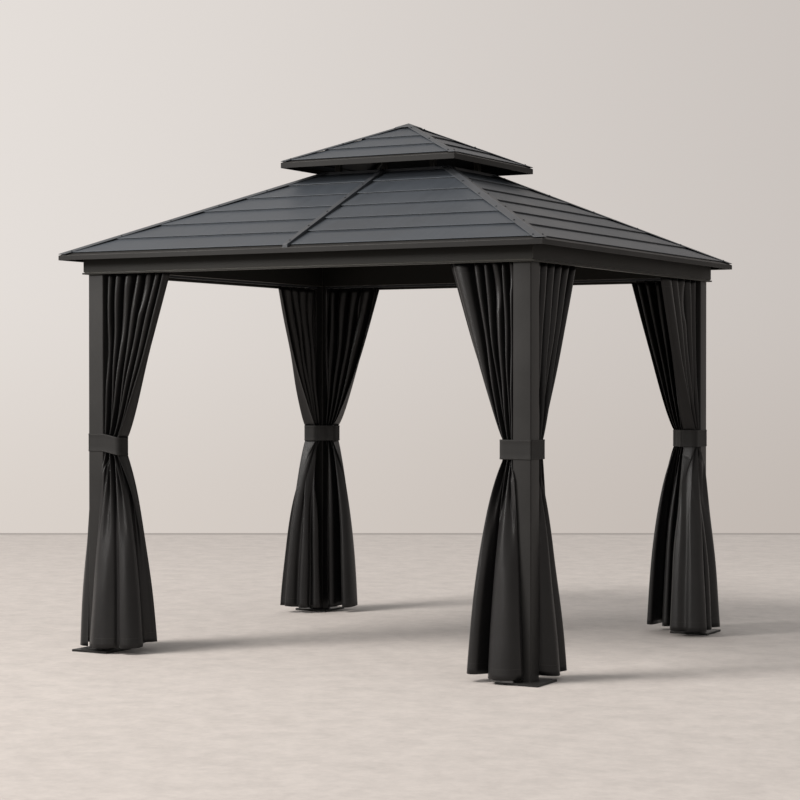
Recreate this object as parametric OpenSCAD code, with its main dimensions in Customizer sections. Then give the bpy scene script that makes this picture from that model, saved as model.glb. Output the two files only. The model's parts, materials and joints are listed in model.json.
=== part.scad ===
// Hardtop gazebo: four posts, a ring of beams, a hip roof of lapped sheet metal,
// a raised cap roof over a vent, and two tied-back curtains at each post.
// Millimetres. The origin is on the ground at the middle of the plan, +Z is up,
// and the long front side faces -Y.
// A side piece is drawn for the front, and turned about Z for the other sides.
// A corner piece is drawn in its post's own corner: x and y both run inwards
// from the post's outer corner, and the piece is mirrored to the other corners.

/* [Plan] */
// Length of the front over the posts' outer faces
span_x = 2720; // [2300:10:3600]
// Length of a side over the posts' outer faces
span_y = 2480; // [2300:10:3400]
// Clear height under the beams
clear_h = 2100; // [1900:10:2600]

/* [Posts] */
// Side of the square post
post_w = 100; // [80:5:120]
// Radius of the post's corners
post_r = 6; // [4:1:12]
// Wall of the post's tube
post_wall = 3; // [1.5:0.5:5]
// Side of the square base plate
plate_w = 234; // [200:2:280]
// Thickness of the base plate
plate_t = 12; // [6:1:20]
// Distance between the anchor holes of a base plate
anchor_pitch = 190; // [170:2:200]
// Diameter of an anchor hole
anchor_d = 12; // [8:1:16]

/* [Beams] */
// How far a beam's face stands out past the posts
beam_out = 20; // [10:1:30]
// How far the posts run up behind the beam's face
beam_rebate = 25; // [20:1:40]
// Wall of the beam's box
beam_wall = 4; // [3:0.5:6]
// Height of the lip along the beam's lower edge
lip_h = 9; // [6:1:14]
// How far the lip stands out past the beam's face
lip_out = 5; // [3:1:8]
// Height and depth of the groove above the lip
groove = 4; // [2:0.5:6]
// Width of a curtain rail
rail_w = 20; // [16:1:24]
// Height of a curtain rail
rail_h = 12; // [8:1:16]
// Width of the slot under a curtain rail
rail_slot = 6; // [4:1:8]

/* [Main roof] */
// Overhang of the eave past the posts' outer faces
overhang = 118; // [90:1:160]
// Height of the eave above the underside of the beams
eave_up = 100; // [96:1:140]
// Pitch of the main roof in degrees
pitch = 24.8; // [18:0.1:30]
// Run of the main roof in plan, from the eave to the vent
roof_run = 1060; // [900:10:1080]
// Run of one lapped course
course = 174; // [140:1:210]
// Run of the bare strip below the lowest course
first_course = 35; // [30:1:44]
// Height of the step where one course laps another
step_h = 10; // [7:0.5:14]
// How far a course's nose reaches over the course below
nose = 6; // [3:1:10]
// Thickness of the roof sheet
sheet_t = 3; // [2:0.5:4]
// Thickness of the trims and hip caps
trim_t = 3; // [2:0.5:4]
// Height of the drip edge's face below the eave line
drip_h = 23; // [15:1:40]
// How far the drip edges' flanges run under the lowest course
flange_lap = 10; // [5:1:20]
// Width of a hip cap's wing, measured along the eave
hip_w = 50; // [30:1:70]
// Width of the rib on the front and back slopes
rib_w = 30; // [20:1:50]
// Height of the rib above the roof plane
rib_h = 22; // [15:1:30]
// Width of a rafter of the main roof
rafter_w = 40; // [30:1:60]
// Depth of a rafter of the main roof
rafter_h = 40; // [30:1:60]

/* [Vent and cap roof] */
// Width of the curb round the vent
curb_w = 40; // [30:1:50]
// Height of the curb above the main roof's top line
curb_up = 15; // [10:1:25]
// Depth of the curb below the main roof's top line
curb_down = 60; // [50:1:90]
// Overhang of the cap's eave past the vent at its ends
cap_over_x = 138; // [100:1:170]
// Overhang of the cap's eave past the vent at front and back
cap_over_y = 208; // [150:1:230]
// Height of the cap's eave line above the main roof's top line
cap_lift = 57; // [45:1:120]
// Rise of the cap roof
cap_rise = 234; // [180:1:300]
// Run of one course of the cap roof on its shorter slope
cap_course = 145; // [120:1:170]
// Run of the bare strip below the cap's lowest course
cap_first = 28; // [22:1:34]
// Height of the cap's drip edge below its eave line
cap_drip_h = 27; // [20:1:40]
// Width of a cap hip's wing, measured along the eave
cap_hip_w = 34; // [24:1:40]
// Width of the cap roof's rafters
cap_rafter_w = 28; // [20:1:34]
// Depth of the cap roof's rafters
cap_rafter_h = 22; // [16:1:24]
// Half the width of the block that joins the cap's rafters
hub_half = 45; // [42:1:50]
// How far that block reaches down from the apex
hub_depth = 70; // [60:1:90]
// Half the width of the small cap on the apex
apex_half = 55; // [52:1:80]
// Side of a square strut between the curb and the cap
strut_w = 30; // [20:1:36]

/* [Curtains] */
// Reach of the front and back curtains along the rail, from the post
gather_front = 380; // [250:10:600]
// Reach of the end curtains along the rail, from the post
gather_side = 500; // [250:10:600]
// Depth of the curtain's folds at the rail
fold_depth = 76; // [40:2:84]
// Reach of the bunched curtain inside the tie, from the post
bunch = 80; // [60:2:120]
// Height of the tie's lower edge
tie_z = 1115; // [800:5:1300]
// Height of the tie band
tie_h = 100; // [60:5:150]
// Thickness of the tie band
tie_t = 4; // [2:0.5:6]
// Reach of the curtain at its hem, from the post
skirt_reach = 205; // [120:5:350]
// How far the hem swells past the post's outer face
skirt_out = 92; // [0:2:110]
// How far the hem swells past the post's inner face
skirt_in = 70; // [0:2:110]
// Height of the hem above the ground
hem_h = 40; // [25:5:100]
// Gap between cloth and what it hangs beside
soft_gap = 0.5; // [0.3:0.1:1]

/* [Hidden] */
$fn = 48;

frame_colour = "#3f3e3c";
beam_colour = "#33312e";
roof_colour = "#55585c";
trim_colour = "#46484a";
curtain_colour = "#242424";
tie_colour = "#33322f";

// Half sizes in plan, as [x, y], and heights of the roof's base lines
half = [span_x / 2, span_y / 2];
eave = half + [overhang, overhang];
eave_z = clear_h + eave_up;
vent = eave - [roof_run, roof_run];
vent_z = eave_z + roof_run * tan(pitch);
cap_eave = vent + [cap_over_x, cap_over_y];
cap_z = vent_z + cap_lift;
apex_z = cap_z + cap_rise;
beam_edge = half + [1, 1] * (beam_out + lip_out);
post_top = clear_h + beam_rebate;
mitre_gap = 0.5;
beyond = 1e4; // past every part, for cuts with an open end

// A roof is [half size of the eave, half size of the top, eave height, top height]
main_roof = [eave, vent, eave_z, vent_z];
cap_roof = [cap_eave, [0, 0], cap_z, apex_z];

// Where the courses start and the drip edges' flanges end, as shares of the way up
main_seams = [for (s = [first_course : course : roof_run - course / 2]) s / roof_run];
main_flange = (first_course + flange_lap) / roof_run;
cap_run = min(cap_eave.x, cap_eave.y);
cap_seams = [for (k = [0 : 2]) (cap_first + k * cap_course) / cap_run];
cap_flange = (cap_first + flange_lap) / cap_run;

// The cap's plan, shrunk until its shorter half is this long
function cap_plan(half_width) = cap_eave * half_width / cap_run;

// Side numbers: 0 front, 1 right, 2 back, 3 left. Odd sides have x and y exchanged.
function swap(p, side) = side % 2 == 0 ? p : [p.y, p.x];
function turned(roof, side) = [swap(roof[0], side), swap(roof[1], side), roof[2], roof[3]];

// A point in the front slope's section, as [y, z], at a share of the way up and a height over it
function on_slope(roof, share, up) = [
    -(roof[0].y + (roof[1].y - roof[0].y) * share),
    roof[2] + (roof[3] - roof[2]) * share + up
];

// Outline of the lapped sheet in section: up over the noses, and back along the underside
function lapped_sheet(roof, seams, run) = let(
    last = len(seams) - 1,
    reach = nose / run,
    riser = sheet_t / run
) [
    for (i = [0 : last]) each [
        on_slope(roof, seams[i], i == 0 ? trim_t : 0),
        on_slope(roof, seams[i], step_h - sheet_t),
        on_slope(roof, seams[i] - reach, step_h - sheet_t),
        on_slope(roof, seams[i] - reach, step_h)
    ],
    on_slope(roof, 1, 0),
    for (i = [last : -1 : 0]) each [
        on_slope(roof, i == last ? 1 : seams[i + 1] + riser, -sheet_t),
        on_slope(roof, seams[i] + riser, step_h - sheet_t)
    ],
    on_slope(roof, seams[0] + riser, trim_t)
];

// Turns a front piece to another side
module to_side(side) {
    rotate(90 * side) children();
}

// Places a corner piece at the post on side sx of X and side sy of Y
module at_corner(sx, sy) {
    translate([sx * half.x, sy * half.y, 0])
        mirror([max(sx, 0), 0, 0])
            mirror([0, max(sy, 0), 0])
                children();
}

// A bar along X whose section is drawn as [y, z]
module bar_x(section, x0, x1) {
    translate([x0, 0, 0])
        rotate([90, 0, 90])
            linear_extrude(x1 - x0)
                polygon(section);
}

// The part of the plan that belongs to the front slope, from x0 to x1 at most
module front_wedge(outer, inner, gap = 0, x0 = -beyond, x1 = beyond) {
    linear_extrude(beyond)
        intersection() {
            polygon([[gap - outer.x, -outer.y], [outer.x - gap, -outer.y],
                     [inner.x - gap, -inner.y], [gap - inner.x, -inner.y]]);
            translate([x0, -outer.y - 1])
                square([x1 - x0, outer.y + 1]);
        }
}

// A block over the rectangle [-size.x, size.x] x [-size.y, size.y]
module plan_block(size, z0 = 0, z1 = beyond) {
    translate([-size.x, -size.y, z0])
        cube([2 * size.x, 2 * size.y, z1 - z0]);
}

// Everything between the ground and a roof's base planes raised by up
module under_roof(roof, up) {
    intersection_for (side = [0, 1]) {
        r = turned(roof, side);
        to_side(side)
            bar_x([
                [-r[0].y, 0], on_slope(r, 0, up), on_slope(r, 1, up),
                [r[1].y, r[3] + up], [r[0].y, r[2] + up], [r[0].y, 0]
            ], -r[0].x, r[0].x);
    }
}

// The layer between two heights over a roof's base planes
module roof_layer(roof, up_low, up_high) {
    difference() {
        under_roof(roof, up_high);
        under_roof(roof, up_low);
    }
}

// Strip along the hip in the corner x > 0, y > 0, reaching w along each eave
module hip_strip(roof, w) {
    outer = roof[0];
    inner = roof[1];
    linear_extrude(beyond)
        polygon([
            outer - [w, 0], outer, outer - [0, w],
            inner - [0, w], inner, inner - [w, 0]
        ]);
}

// Repeats a hip strip over the four corners
module each_corner() {
    for (mx = [0, 1], my = [0, 1])
        mirror([mx, 0, 0]) mirror([0, my, 0]) children();
}

// ---- Posts and beams ----

module post(sx, sy) {
    color(frame_colour)
        at_corner(sx, sy)
            translate([0, 0, plate_t])
                linear_extrude(post_top - plate_t)
                    difference() {
                        union() {
                            translate([post_r, 0]) square([post_w - 2 * post_r, post_w]);
                            translate([0, post_r]) square([post_w, post_w - 2 * post_r]);
                            for (x = [post_r, post_w - post_r], y = [post_r, post_w - post_r])
                                translate([x, y]) circle(post_r);
                        }
                        translate([post_wall, post_wall])
                            square(post_w - 2 * post_wall);
                    }
}

module base_plate() {
    translate([post_w / 2, post_w / 2, 0])
        difference() {
            translate([-plate_w / 2, -plate_w / 2, 0])
                cube([plate_w, plate_w, plate_t]);
            for (x = [-1, 1], y = [-1, 1])
                translate([x * anchor_pitch / 2, y * anchor_pitch / 2, -1])
                    cylinder(h = plate_t + 2, d = anchor_d);
        }
}

module base_plates() {
    color(frame_colour)
        for (sx = [-1, 1], sy = [-1, 1])
            at_corner(sx, sy) base_plate();
}

// The beam is a box on the posts, with its face hanging down in front of them.
// Its top follows the underside of the roof sheet.
module beam(side) {
    h = swap(half, side);
    r = turned(main_roof, side);
    run_at = function (y) (r[0].y + y) / roof_run;
    face = -h.y - beam_out;
    box_in = -h.y + post_w;
    section = [
        [face - lip_out, clear_h],
        [-h.y, clear_h],
        [-h.y, post_top],
        [box_in, post_top],
        on_slope(r, run_at(box_in), -sheet_t),
        on_slope(r, run_at(face), -sheet_t),
        [face, clear_h + lip_h + groove],
        [face + groove, clear_h + lip_h + groove],
        [face + groove, clear_h + lip_h],
        [face - lip_out, clear_h + lip_h]
    ];
    hollow_out = -h.y + beam_wall;
    hollow_in = box_in - beam_wall;
    hollow = [
        [hollow_out, post_top + beam_wall],
        [hollow_in, post_top + beam_wall],
        on_slope(r, run_at(hollow_in), -sheet_t - beam_wall),
        on_slope(r, run_at(hollow_out), -sheet_t - beam_wall)
    ];
    outer = swap(beam_edge, side);
    color(beam_colour)
        to_side(side)
            intersection() {
                difference() {
                    bar_x(section, -outer.x, outer.x);
                    bar_x(hollow, -outer.x - 1, outer.x + 1);
                }
                front_wedge(outer, outer - [1, 1] * (beam_out + lip_out + post_w));
            }
}

// A slotted rail under each beam, from post to post
module curtain_rails() {
    color(trim_colour)
        for (side = [0 : 3]) {
            h = swap(half, side);
            y = -h.y + (post_w - rail_w) / 2;
            slot_y = -h.y + (post_w - rail_slot) / 2;
            wall = rail_h / 6;
            to_side(side)
                difference() {
                    translate([post_w - h.x, y, post_top - rail_h])
                        cube([2 * (h.x - post_w), rail_w, rail_h]);
                    translate([-h.x, slot_y, post_top - rail_h - 1])
                        cube([2 * h.x, rail_slot, rail_h / 2]);
                    translate([-h.x, y + wall, post_top - rail_h + wall])
                        cube([2 * h.x, rail_w - 2 * wall, rail_h / 2]);
                }
        }
}

// ---- Main roof ----

module hip_rafters() {
    color(beam_colour)
        each_corner()
            intersection() {
                roof_layer(main_roof, -sheet_t - rafter_h, -sheet_t);
                difference() {
                    hip_strip(main_roof, rafter_w / sqrt(2));
                    plan_block(vent);
                }
                plan_block(half - [post_w, post_w]);
            }
}

module mid_rafters() {
    color(beam_colour)
        for (side = [0 : 3]) {
            r = turned(main_roof, side);
            foot = (overhang + post_w) / roof_run;
            to_side(side)
                bar_x([
                    on_slope(r, foot, -sheet_t - rafter_h), on_slope(r, foot, -sheet_t),
                    on_slope(r, 1, -sheet_t), on_slope(r, 1, -sheet_t - rafter_h)
                ], -rafter_w / 2, rafter_w / 2);
        }
}

// One slope of a lapped roof, from x0 to x1 at most
module slope(roof, side, seams, run, x0 = -beyond, x1 = beyond) {
    r = turned(roof, side);
    color(roof_colour)
        to_side(side)
            intersection() {
                bar_x(lapped_sheet(r, seams, run), -r[0].x, r[0].x);
                front_wedge(r[0], r[1], 0, x0, x1);
            }
}

// Main slopes: the front and back ones are split by the rib
module main_slope(side) {
    slope(main_roof, side, main_seams, roof_run);
}

module main_slope_left(side) {
    slope(main_roof, side, main_seams, roof_run, -beyond, -rib_w / 2);
}

module main_slope_right(side) {
    slope(main_roof, side, main_seams, roof_run, rib_w / 2, beyond);
}

// The rib stands between the two halves of a slope, and over the drip edge's flange.
// Its upper end is cut level with the top of the vent's curb.
module roof_ribs() {
    rib_top = min(rib_h, curb_up);
    level_from = 1 - (rib_h - rib_top) / (vent_z - eave_z);
    color(trim_colour)
        for (side = [0, 2])
            to_side(side)
                bar_x([
                    on_slope(main_roof, 0, trim_t),
                    on_slope(main_roof, main_flange, trim_t),
                    on_slope(main_roof, main_flange, -sheet_t),
                    on_slope(main_roof, 1, -sheet_t),
                    on_slope(main_roof, 1, rib_top),
                    on_slope(main_roof, level_from, rib_h),
                    on_slope(main_roof, 0, rib_h)
                ], -rib_w / 2, rib_w / 2);
}

module hip_caps() {
    color(trim_colour)
        each_corner()
            intersection() {
                roof_layer(main_roof, step_h, step_h + trim_t);
                difference() {
                    hip_strip(main_roof, hip_w);
                    plan_block(vent);
                }
            }
}

// Folded drip edges: a face that hangs at the eave, and a flange on the roof plane
// that ends at a share of the way up
module drip_edge(roof, side, drop, flange_end) {
    r = turned(roof, side);
    outer = r[0];
    bend = trim_t / (outer.y - r[1].y);
    to_side(side)
        intersection() {
            bar_x([
                [-outer.y, r[2] - drop],
                [-outer.y + trim_t, r[2] - drop],
                on_slope(r, bend, 0),
                on_slope(r, flange_end, 0),
                on_slope(r, flange_end, trim_t),
                on_slope(r, 0, trim_t)
            ], -outer.x, outer.x);
            front_wedge(outer, (outer + r[1]) / 2, mitre_gap);
        }
}

module drip_edges() {
    color(trim_colour)
        for (side = [0 : 3])
            drip_edge(main_roof, side, drip_h, main_flange);
}

// ---- Vent ----

module vent_curb() {
    color(trim_colour)
        for (side = [0 : 3])
            to_side(side) {
                v = swap(vent, side);
                intersection() {
                    translate([-v.x, -v.y, vent_z - curb_down])
                        cube([2 * v.x, curb_w, curb_down + curb_up]);
                    front_wedge(v, v - [curb_w, curb_w], mitre_gap);
                }
            }
}

// Struts stand on the front and back curbs, right under the cap's hip rafters
module vent_struts() {
    y = vent.y - curb_w / 2;
    x = y * cap_eave.x / cap_eave.y;
    color(beam_colour)
        each_corner()
            intersection() {
                translate([x - strut_w / 2, y - strut_w / 2, vent_z + curb_up])
                    cube([strut_w, strut_w, cap_rise]);
                under_roof(cap_roof, -sheet_t - cap_rafter_h);
            }
}

// ---- Cap roof ----

module cap_hub() {
    color(beam_colour)
        intersection() {
            under_roof(cap_roof, -sheet_t);
            plan_block(cap_plan(hub_half), apex_z - hub_depth);
        }
}

module cap_rafters() {
    color(beam_colour)
        each_corner()
            intersection() {
                roof_layer(cap_roof, -sheet_t - cap_rafter_h, -sheet_t);
                difference() {
                    hip_strip(cap_roof, cap_rafter_w / sqrt(2));
                    plan_block(cap_plan(hub_half));
                }
                plan_block(cap_eave - [trim_t, trim_t]);
            }
}

module cap_slope(side) {
    slope(cap_roof, side, cap_seams, cap_run);
}

module cap_hip_caps() {
    color(trim_colour)
        each_corner()
            intersection() {
                roof_layer(cap_roof, step_h, step_h + trim_t);
                difference() {
                    hip_strip(cap_roof, cap_hip_w);
                    plan_block(cap_plan(hub_half));
                }
            }
}

module cap_drip_edges() {
    color(trim_colour)
        for (side = [0 : 3])
            drip_edge(cap_roof, side, cap_drip_h, cap_flange);
}

module apex_cap() {
    color(trim_colour)
        intersection() {
            roof_layer(cap_roof, step_h + trim_t, step_h + 2 * trim_t);
            plan_block(cap_plan(apex_half));
        }
}

// ---- Curtains and ties ----

// A curtain's outline at one height. It fills [u0, u1] away from the post and
// [v0, v1] across it, with round corners, and stops at the corner's diagonal,
// where the other curtain of the post begins.
ring_points = 20;
function round_power(c) = sign(c) * pow(abs(c), 0.75);
function curtain_ring(u0, u1, v0, v1, z) = [
    for (i = [0 : ring_points - 1])
        let(
            a = 360 * (i + 0.5) / ring_points,
            u = (u0 + u1) / 2 + (u1 - u0) / 2 * round_power(cos(a)),
            v = (v0 + v1) / 2 + (v1 - v0) / 2 * round_power(sin(a))
        )
        [post_w + u, min(v, post_w + u - soft_gap), z]
];

// Blend from a to b
function mix(a, b, share) = a + (b - a) * share;

// The curtain narrows from the rail to the tie, then spreads again to the hem.
// Each spread grows as this power of the height from the tie, as hung cloth does.
spread_power = 0.76;
rings_each = 8;
ring_bias = 1.6; // rings stand closer near the tie
tied_inset = 4;  // the tied bunch stays this far inside the post's faces
function upper_ring(reach, k) = let(
    rise = pow(k / rings_each, ring_bias),
    spread = pow(rise, spread_power),
    v_mid = post_w / 2
) curtain_ring(
    soft_gap, mix(bunch, reach, spread),
    mix(tied_inset, v_mid - fold_depth / 2, spread),
    mix(post_w - tied_inset, v_mid + fold_depth / 2, spread),
    mix(tie_z + tie_h, post_top - rail_h - soft_gap, rise)
);
function lower_ring(k) = let(
    fall = pow(k / rings_each, ring_bias),
    spread = pow(fall, spread_power)
) curtain_ring(
    soft_gap, mix(bunch, skirt_reach, spread),
    mix(tied_inset, -skirt_out, spread),
    mix(post_w - tied_inset, post_w + skirt_in, spread),
    mix(tie_z, hem_h, fall)
);

// A closed skin through rings of the same number of points, from the lowest up
module skin(rings) {
    n = len(rings[0]);
    top = len(rings) - 1;
    polyhedron(
        points = [for (r = rings) each r],
        faces = [
            [for (i = [0 : n - 1]) i],
            [for (i = [n - 1 : -1 : 0]) top * n + i],
            for (k = [0 : top - 1], i = [0 : n - 1])
                let(j = (i + 1) % n) each [
                    [k * n + i, (k + 1) * n + i, k * n + j],
                    [k * n + j, (k + 1) * n + i, (k + 1) * n + j]
                ]
        ]
    );
}

module curtain_body(reach) {
    skin([
        for (k = [rings_each : -1 : 0]) lower_ring(k),
        for (k = [0 : rings_each]) upper_ring(reach, k)
    ]);
}

// Curtains on the front and back run along X, those on the ends along Y
module curtain_along_x(sx, sy) {
    color(curtain_colour)
        at_corner(sx, sy) curtain_body(gather_front);
}

module curtain_along_y(sx, sy) {
    color(curtain_colour)
        at_corner(sx, sy)
            mirror([1, -1, 0]) curtain_body(gather_side);
}

// The tie is a band round the post and both of its curtains
bunch_r = 30;
module tie_outline(grow) {
    far = post_w + bunch - bunch_r;
    hull() {
        translate([post_r, post_r]) circle(post_r + grow);
        for (p = [[far, bunch_r], [far, post_w - bunch_r], [bunch_r, far], [post_w - bunch_r, far]])
            translate(p) circle(bunch_r + grow);
    }
}

module tie(sx, sy) {
    color(tie_colour)
        at_corner(sx, sy)
            translate([0, 0, tie_z])
                linear_extrude(tie_h)
                    difference() {
                        tie_outline(soft_gap + tie_t);
                        tie_outline(soft_gap);
                    }
}

post(-1, -1);  // post_front_left
post(1, -1);  // post_front_right
post(-1, 1);  // post_back_left
post(1, 1);  // post_back_right
base_plates();
beam(0);  // beam_front
beam(1);  // beam_right
beam(2);  // beam_back
beam(3);  // beam_left
curtain_rails();
hip_rafters();
mid_rafters();
vent_curb();
vent_struts();
main_slope_left(0);  // roof_front_left
main_slope_right(0);  // roof_front_right
main_slope_right(2);  // roof_back_left
main_slope_left(2);  // roof_back_right
main_slope(3);  // roof_left
main_slope(1);  // roof_right
roof_ribs();
hip_caps();
drip_edges();
cap_hub();
cap_rafters();
cap_slope(0);  // cap_front
cap_slope(1);  // cap_right
cap_slope(2);  // cap_back
cap_slope(3);  // cap_left
cap_hip_caps();
cap_drip_edges();
apex_cap();
curtain_along_x(-1, -1);  // curtain_front_left
curtain_along_x(1, -1);  // curtain_front_right
curtain_along_x(-1, 1);  // curtain_back_left
curtain_along_x(1, 1);  // curtain_back_right
curtain_along_y(-1, -1);  // curtain_left_front
curtain_along_y(-1, 1);  // curtain_left_back
curtain_along_y(1, -1);  // curtain_right_front
curtain_along_y(1, 1);  // curtain_right_back
tie(-1, -1);  // tie_front_left
tie(1, -1);  // tie_front_right
tie(-1, 1);  // tie_back_left
tie(1, 1);  // tie_back_right
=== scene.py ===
"""Double-tier hardtop gazebo: finishes for the metal frame, with its curtains, ties, fasteners and stage."""

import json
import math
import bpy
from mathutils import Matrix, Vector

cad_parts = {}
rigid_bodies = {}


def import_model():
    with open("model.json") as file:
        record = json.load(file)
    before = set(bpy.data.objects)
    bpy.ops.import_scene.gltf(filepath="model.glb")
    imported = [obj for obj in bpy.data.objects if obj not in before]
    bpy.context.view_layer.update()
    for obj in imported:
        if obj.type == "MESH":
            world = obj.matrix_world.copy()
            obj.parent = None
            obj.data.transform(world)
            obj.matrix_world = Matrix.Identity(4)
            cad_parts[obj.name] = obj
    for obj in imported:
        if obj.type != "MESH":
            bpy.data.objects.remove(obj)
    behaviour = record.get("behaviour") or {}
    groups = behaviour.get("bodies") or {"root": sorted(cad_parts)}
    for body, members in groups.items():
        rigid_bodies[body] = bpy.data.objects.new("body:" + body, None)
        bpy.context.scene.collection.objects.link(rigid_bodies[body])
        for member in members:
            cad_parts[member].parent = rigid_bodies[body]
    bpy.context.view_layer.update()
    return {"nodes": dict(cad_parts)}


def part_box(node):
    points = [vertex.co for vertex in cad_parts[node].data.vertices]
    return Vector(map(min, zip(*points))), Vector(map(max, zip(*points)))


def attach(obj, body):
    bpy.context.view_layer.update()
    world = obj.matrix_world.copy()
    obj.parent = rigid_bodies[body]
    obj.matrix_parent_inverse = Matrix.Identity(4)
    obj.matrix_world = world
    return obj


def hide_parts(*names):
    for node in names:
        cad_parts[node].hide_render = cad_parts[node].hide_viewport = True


bl_info = {
    "name": "Hardtop Gazebo",
    "version": (1, 0, 0),
    "blender": (4, 5, 0),
    "location": "3D View > Sidebar > Gazebo",
    "description": "Finishes a packed gazebo frame and hangs its curtains",
    "category": "Object",
}

import bmesh
import bpy
import numpy as np
from bpy.props import BoolProperty, FloatProperty, FloatVectorProperty, IntProperty, PointerProperty
from mathutils import Matrix, Vector
from mathutils.bvhtree import BVHTree

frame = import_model()
MM = 0.001

# ---- The frame's main sizes, taken from its nodes ----

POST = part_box("post_front_right")  # outer corner at +X, -Y
HALF = (POST[1].x, -POST[0].y)  # posts' outer faces
POST_W = POST[1].x - POST[0].x
RAIL_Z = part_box("curtain_rails")[0].z
TIE_Z = (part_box("tie_front_right")[0].z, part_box("tie_front_right")[1].z)
EAVE = (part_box("drip_edges")[1].x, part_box("drip_edges")[1].y)
VENT = (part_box("vent_curb")[1].x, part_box("vent_curb")[1].y)
CAP_EAVE = (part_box("cap_drip_edges")[1].x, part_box("cap_drip_edges")[1].y)
REACH = {
    "front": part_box("curtain_front_left")[1].x + HALF[0] - POST_W,
    "left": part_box("curtain_left_front")[1].y + HALF[1] - POST_W,
}
REACH["back"], REACH["right"] = REACH["front"], REACH["left"]
TIE_SKIN = 4.5 * MM  # the tie node's thickness and its gap to the bunch
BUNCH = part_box("tie_front_left")[1].x + HALF[0] - POST_W - TIE_SKIN

SIDES = ("front", "back", "left", "right")
CORNERS = {"front_left": (-1, -1), "front_right": (1, -1), "back_left": (-1, 1), "back_right": (1, 1)}

# The camera, and the stage's directions: ahead is away from the camera, and right is the camera's right
CAMERA_AT = (5.7415, -10.6053, 1.5131)
CAMERA_DIP = math.radians(0.553)  # how far it looks below the horizon
LENS, SENSOR = 93.73, 36  # in millimetres
TURN = math.radians(28.67)
AHEAD = Vector((-math.sin(TURN), math.cos(TURN), 0))
RIGHT = Vector((math.cos(TURN), math.sin(TURN), 0))
FLOOR_END = 8.5  # how far ahead the floor reaches
LIGHTWARD = Vector((-0.417, -0.556, 0.719)).normalized()  # towards the key light
COAT_IOR = 1.5  # polyester resin, in both kinds of coat
SHARP, FLAT = math.radians(32), math.radians(0.5)  # turns from this on are edges, and up to this are none


def linear(code):
    """Turns an sRGB hex colour into linear RGB."""
    parts = [int(code[i : i + 2], 16) / 255 for i in (1, 3, 5)]
    return tuple(p / 12.92 if p <= 0.04045 else ((p + 0.055) / 1.055) ** 2.4 for p in parts)


def colour(name, description, code):
    """A colour property whose default is a hex value."""
    return FloatVectorProperty(
        name=name, description=description, subtype="COLOR", size=3, min=0, max=1, default=linear(code)
    )


def length(name, description, default, low=0.0, high=10.0):
    """A length property in metres."""
    return FloatProperty(
        name=name, description=description, default=default, min=low, max=high, unit="LENGTH", precision=4
    )


# ---- Settings ----


class PaintSettings(bpy.types.PropertyGroup):
    """Colours of the coated metal, the lighter coat on its eased edges (a painted highlight there, partly a
    rubbed coat), and how far its edges are eased.
    """

    post: colour("Posts", "Powder coat of the posts and base plates", "#2a2928")
    beam: colour("Beams", "Powder coat of the beams and rafters", "#23221f")
    roof: colour("Roof", "Coil coating on the roof sheets' upper side", "#393d42")
    # The roof sheets' underside coat is made near-black, as painted shade under the roof
    backing_and_shade: colour("Roof backing", "Backing coat on the roof sheets' underside", "#0b0b0b")
    trim: colour("Trim", "Coating of the hip caps, ribs and curb", "#3f4144")
    fascia: colour("Fascia", "Coating of the drip edges", "#1d1c1b")
    # The eased edges get a lighter copy of each coat: a painted highlight along them, partly a rubbed coat
    edge_wear_and_highlight: FloatProperty(
        name="Edge lift", description="How much lighter the coat is on eased edges", default=1.6, min=1, max=4
    )
    ease: length("Eased edge", "Width of the eased edges on thick pieces", 0.0015, 0.0002, 0.005)
    sheet_ease: length("Eased sheet edge", "Width of the eased edges on sheet metal", 0.0008, 0.0002, 0.0014)


class CurtainSettings(bpy.types.PropertyGroup):
    """Cloth of the curtains and how it hangs."""

    cloth: colour("Cloth", "Dyed polyester cloth", "#1c1b1b")
    thread: colour("Thread", "Sewing thread", "#4a4744")
    glider: colour("Gliders", "Acetal gliders in the rails", "#1c1c1c")
    width: length("Cloth width", "Width the cloth was cut to", 0.86, 0.6, 3.0)
    thickness: length("Cloth thickness", "Thickness of the cloth", 0.0012, 0.0004, 0.004)
    drop: length("Drop under the rail", "Gap between the rail and the heading", 0.007, 0.002, 0.03)
    hem: length("Hem", "Height of the sewn hem", 0.06, 0.02, 0.15)
    seed: IntProperty(name="Seed", description="Seed of the folds' small differences", default=7, min=0)


class TieSettings(bpy.types.PropertyGroup):
    """The bands that hold the curtains to the posts."""

    cloth: colour("Band", "Doubled canvas of the bands", "#232221")
    thickness: length("Band thickness", "Thickness of the sewn band", 0.0026, 0.001, 0.004)
    overlap: length("Overlap", "Length of the overlapped end", 0.055, 0.02, 0.12)
    stitch_inset: length("Stitch inset", "Distance of the stitch rows from the edges", 0.006, 0.002, 0.02)


class FastenerSettings(bpy.types.PropertyGroup):
    """Screws and welds."""

    screw: colour("Screws", "Painted screw heads", "#3a3c3f")
    head: length("Screw head", "Width across a screw head", 0.008, 0.004, 0.02)
    pitch: length("Screw pitch", "Distance between screws along a hip", 0.24, 0.1, 0.6)
    bead: length("Weld bead", "Radius of the weld beads at the posts' feet", 0.003, 0.001, 0.006)
    seed: IntProperty(name="Seed", description="Seed of the screws' turns", default=3, min=0)


class StageSettings(bpy.types.PropertyGroup):
    """Floor, surroundings, light and camera."""

    floor: colour("Floor", "Trowelled floor", "#c9c1bb")
    wall_left: colour("Wall, light side", "Surroundings on the light's side", "#e8e2dd")
    wall_right: colour("Wall, far side", "Surroundings on the other side", "#c6bfba")
    key: FloatProperty(name="Key light", description="Power of the key light in watts", default=3700, min=0)
    spot: FloatProperty(name="Spot", description="Power of the soft spot in watts", default=4300, min=0)
    ambient: FloatProperty(
        name="Ambient", description="Strength of the surroundings' light", default=0.52, min=0
    )
    shadows: BoolProperty(name="Shadows", description="The key light throws shadows", default=True)


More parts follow.
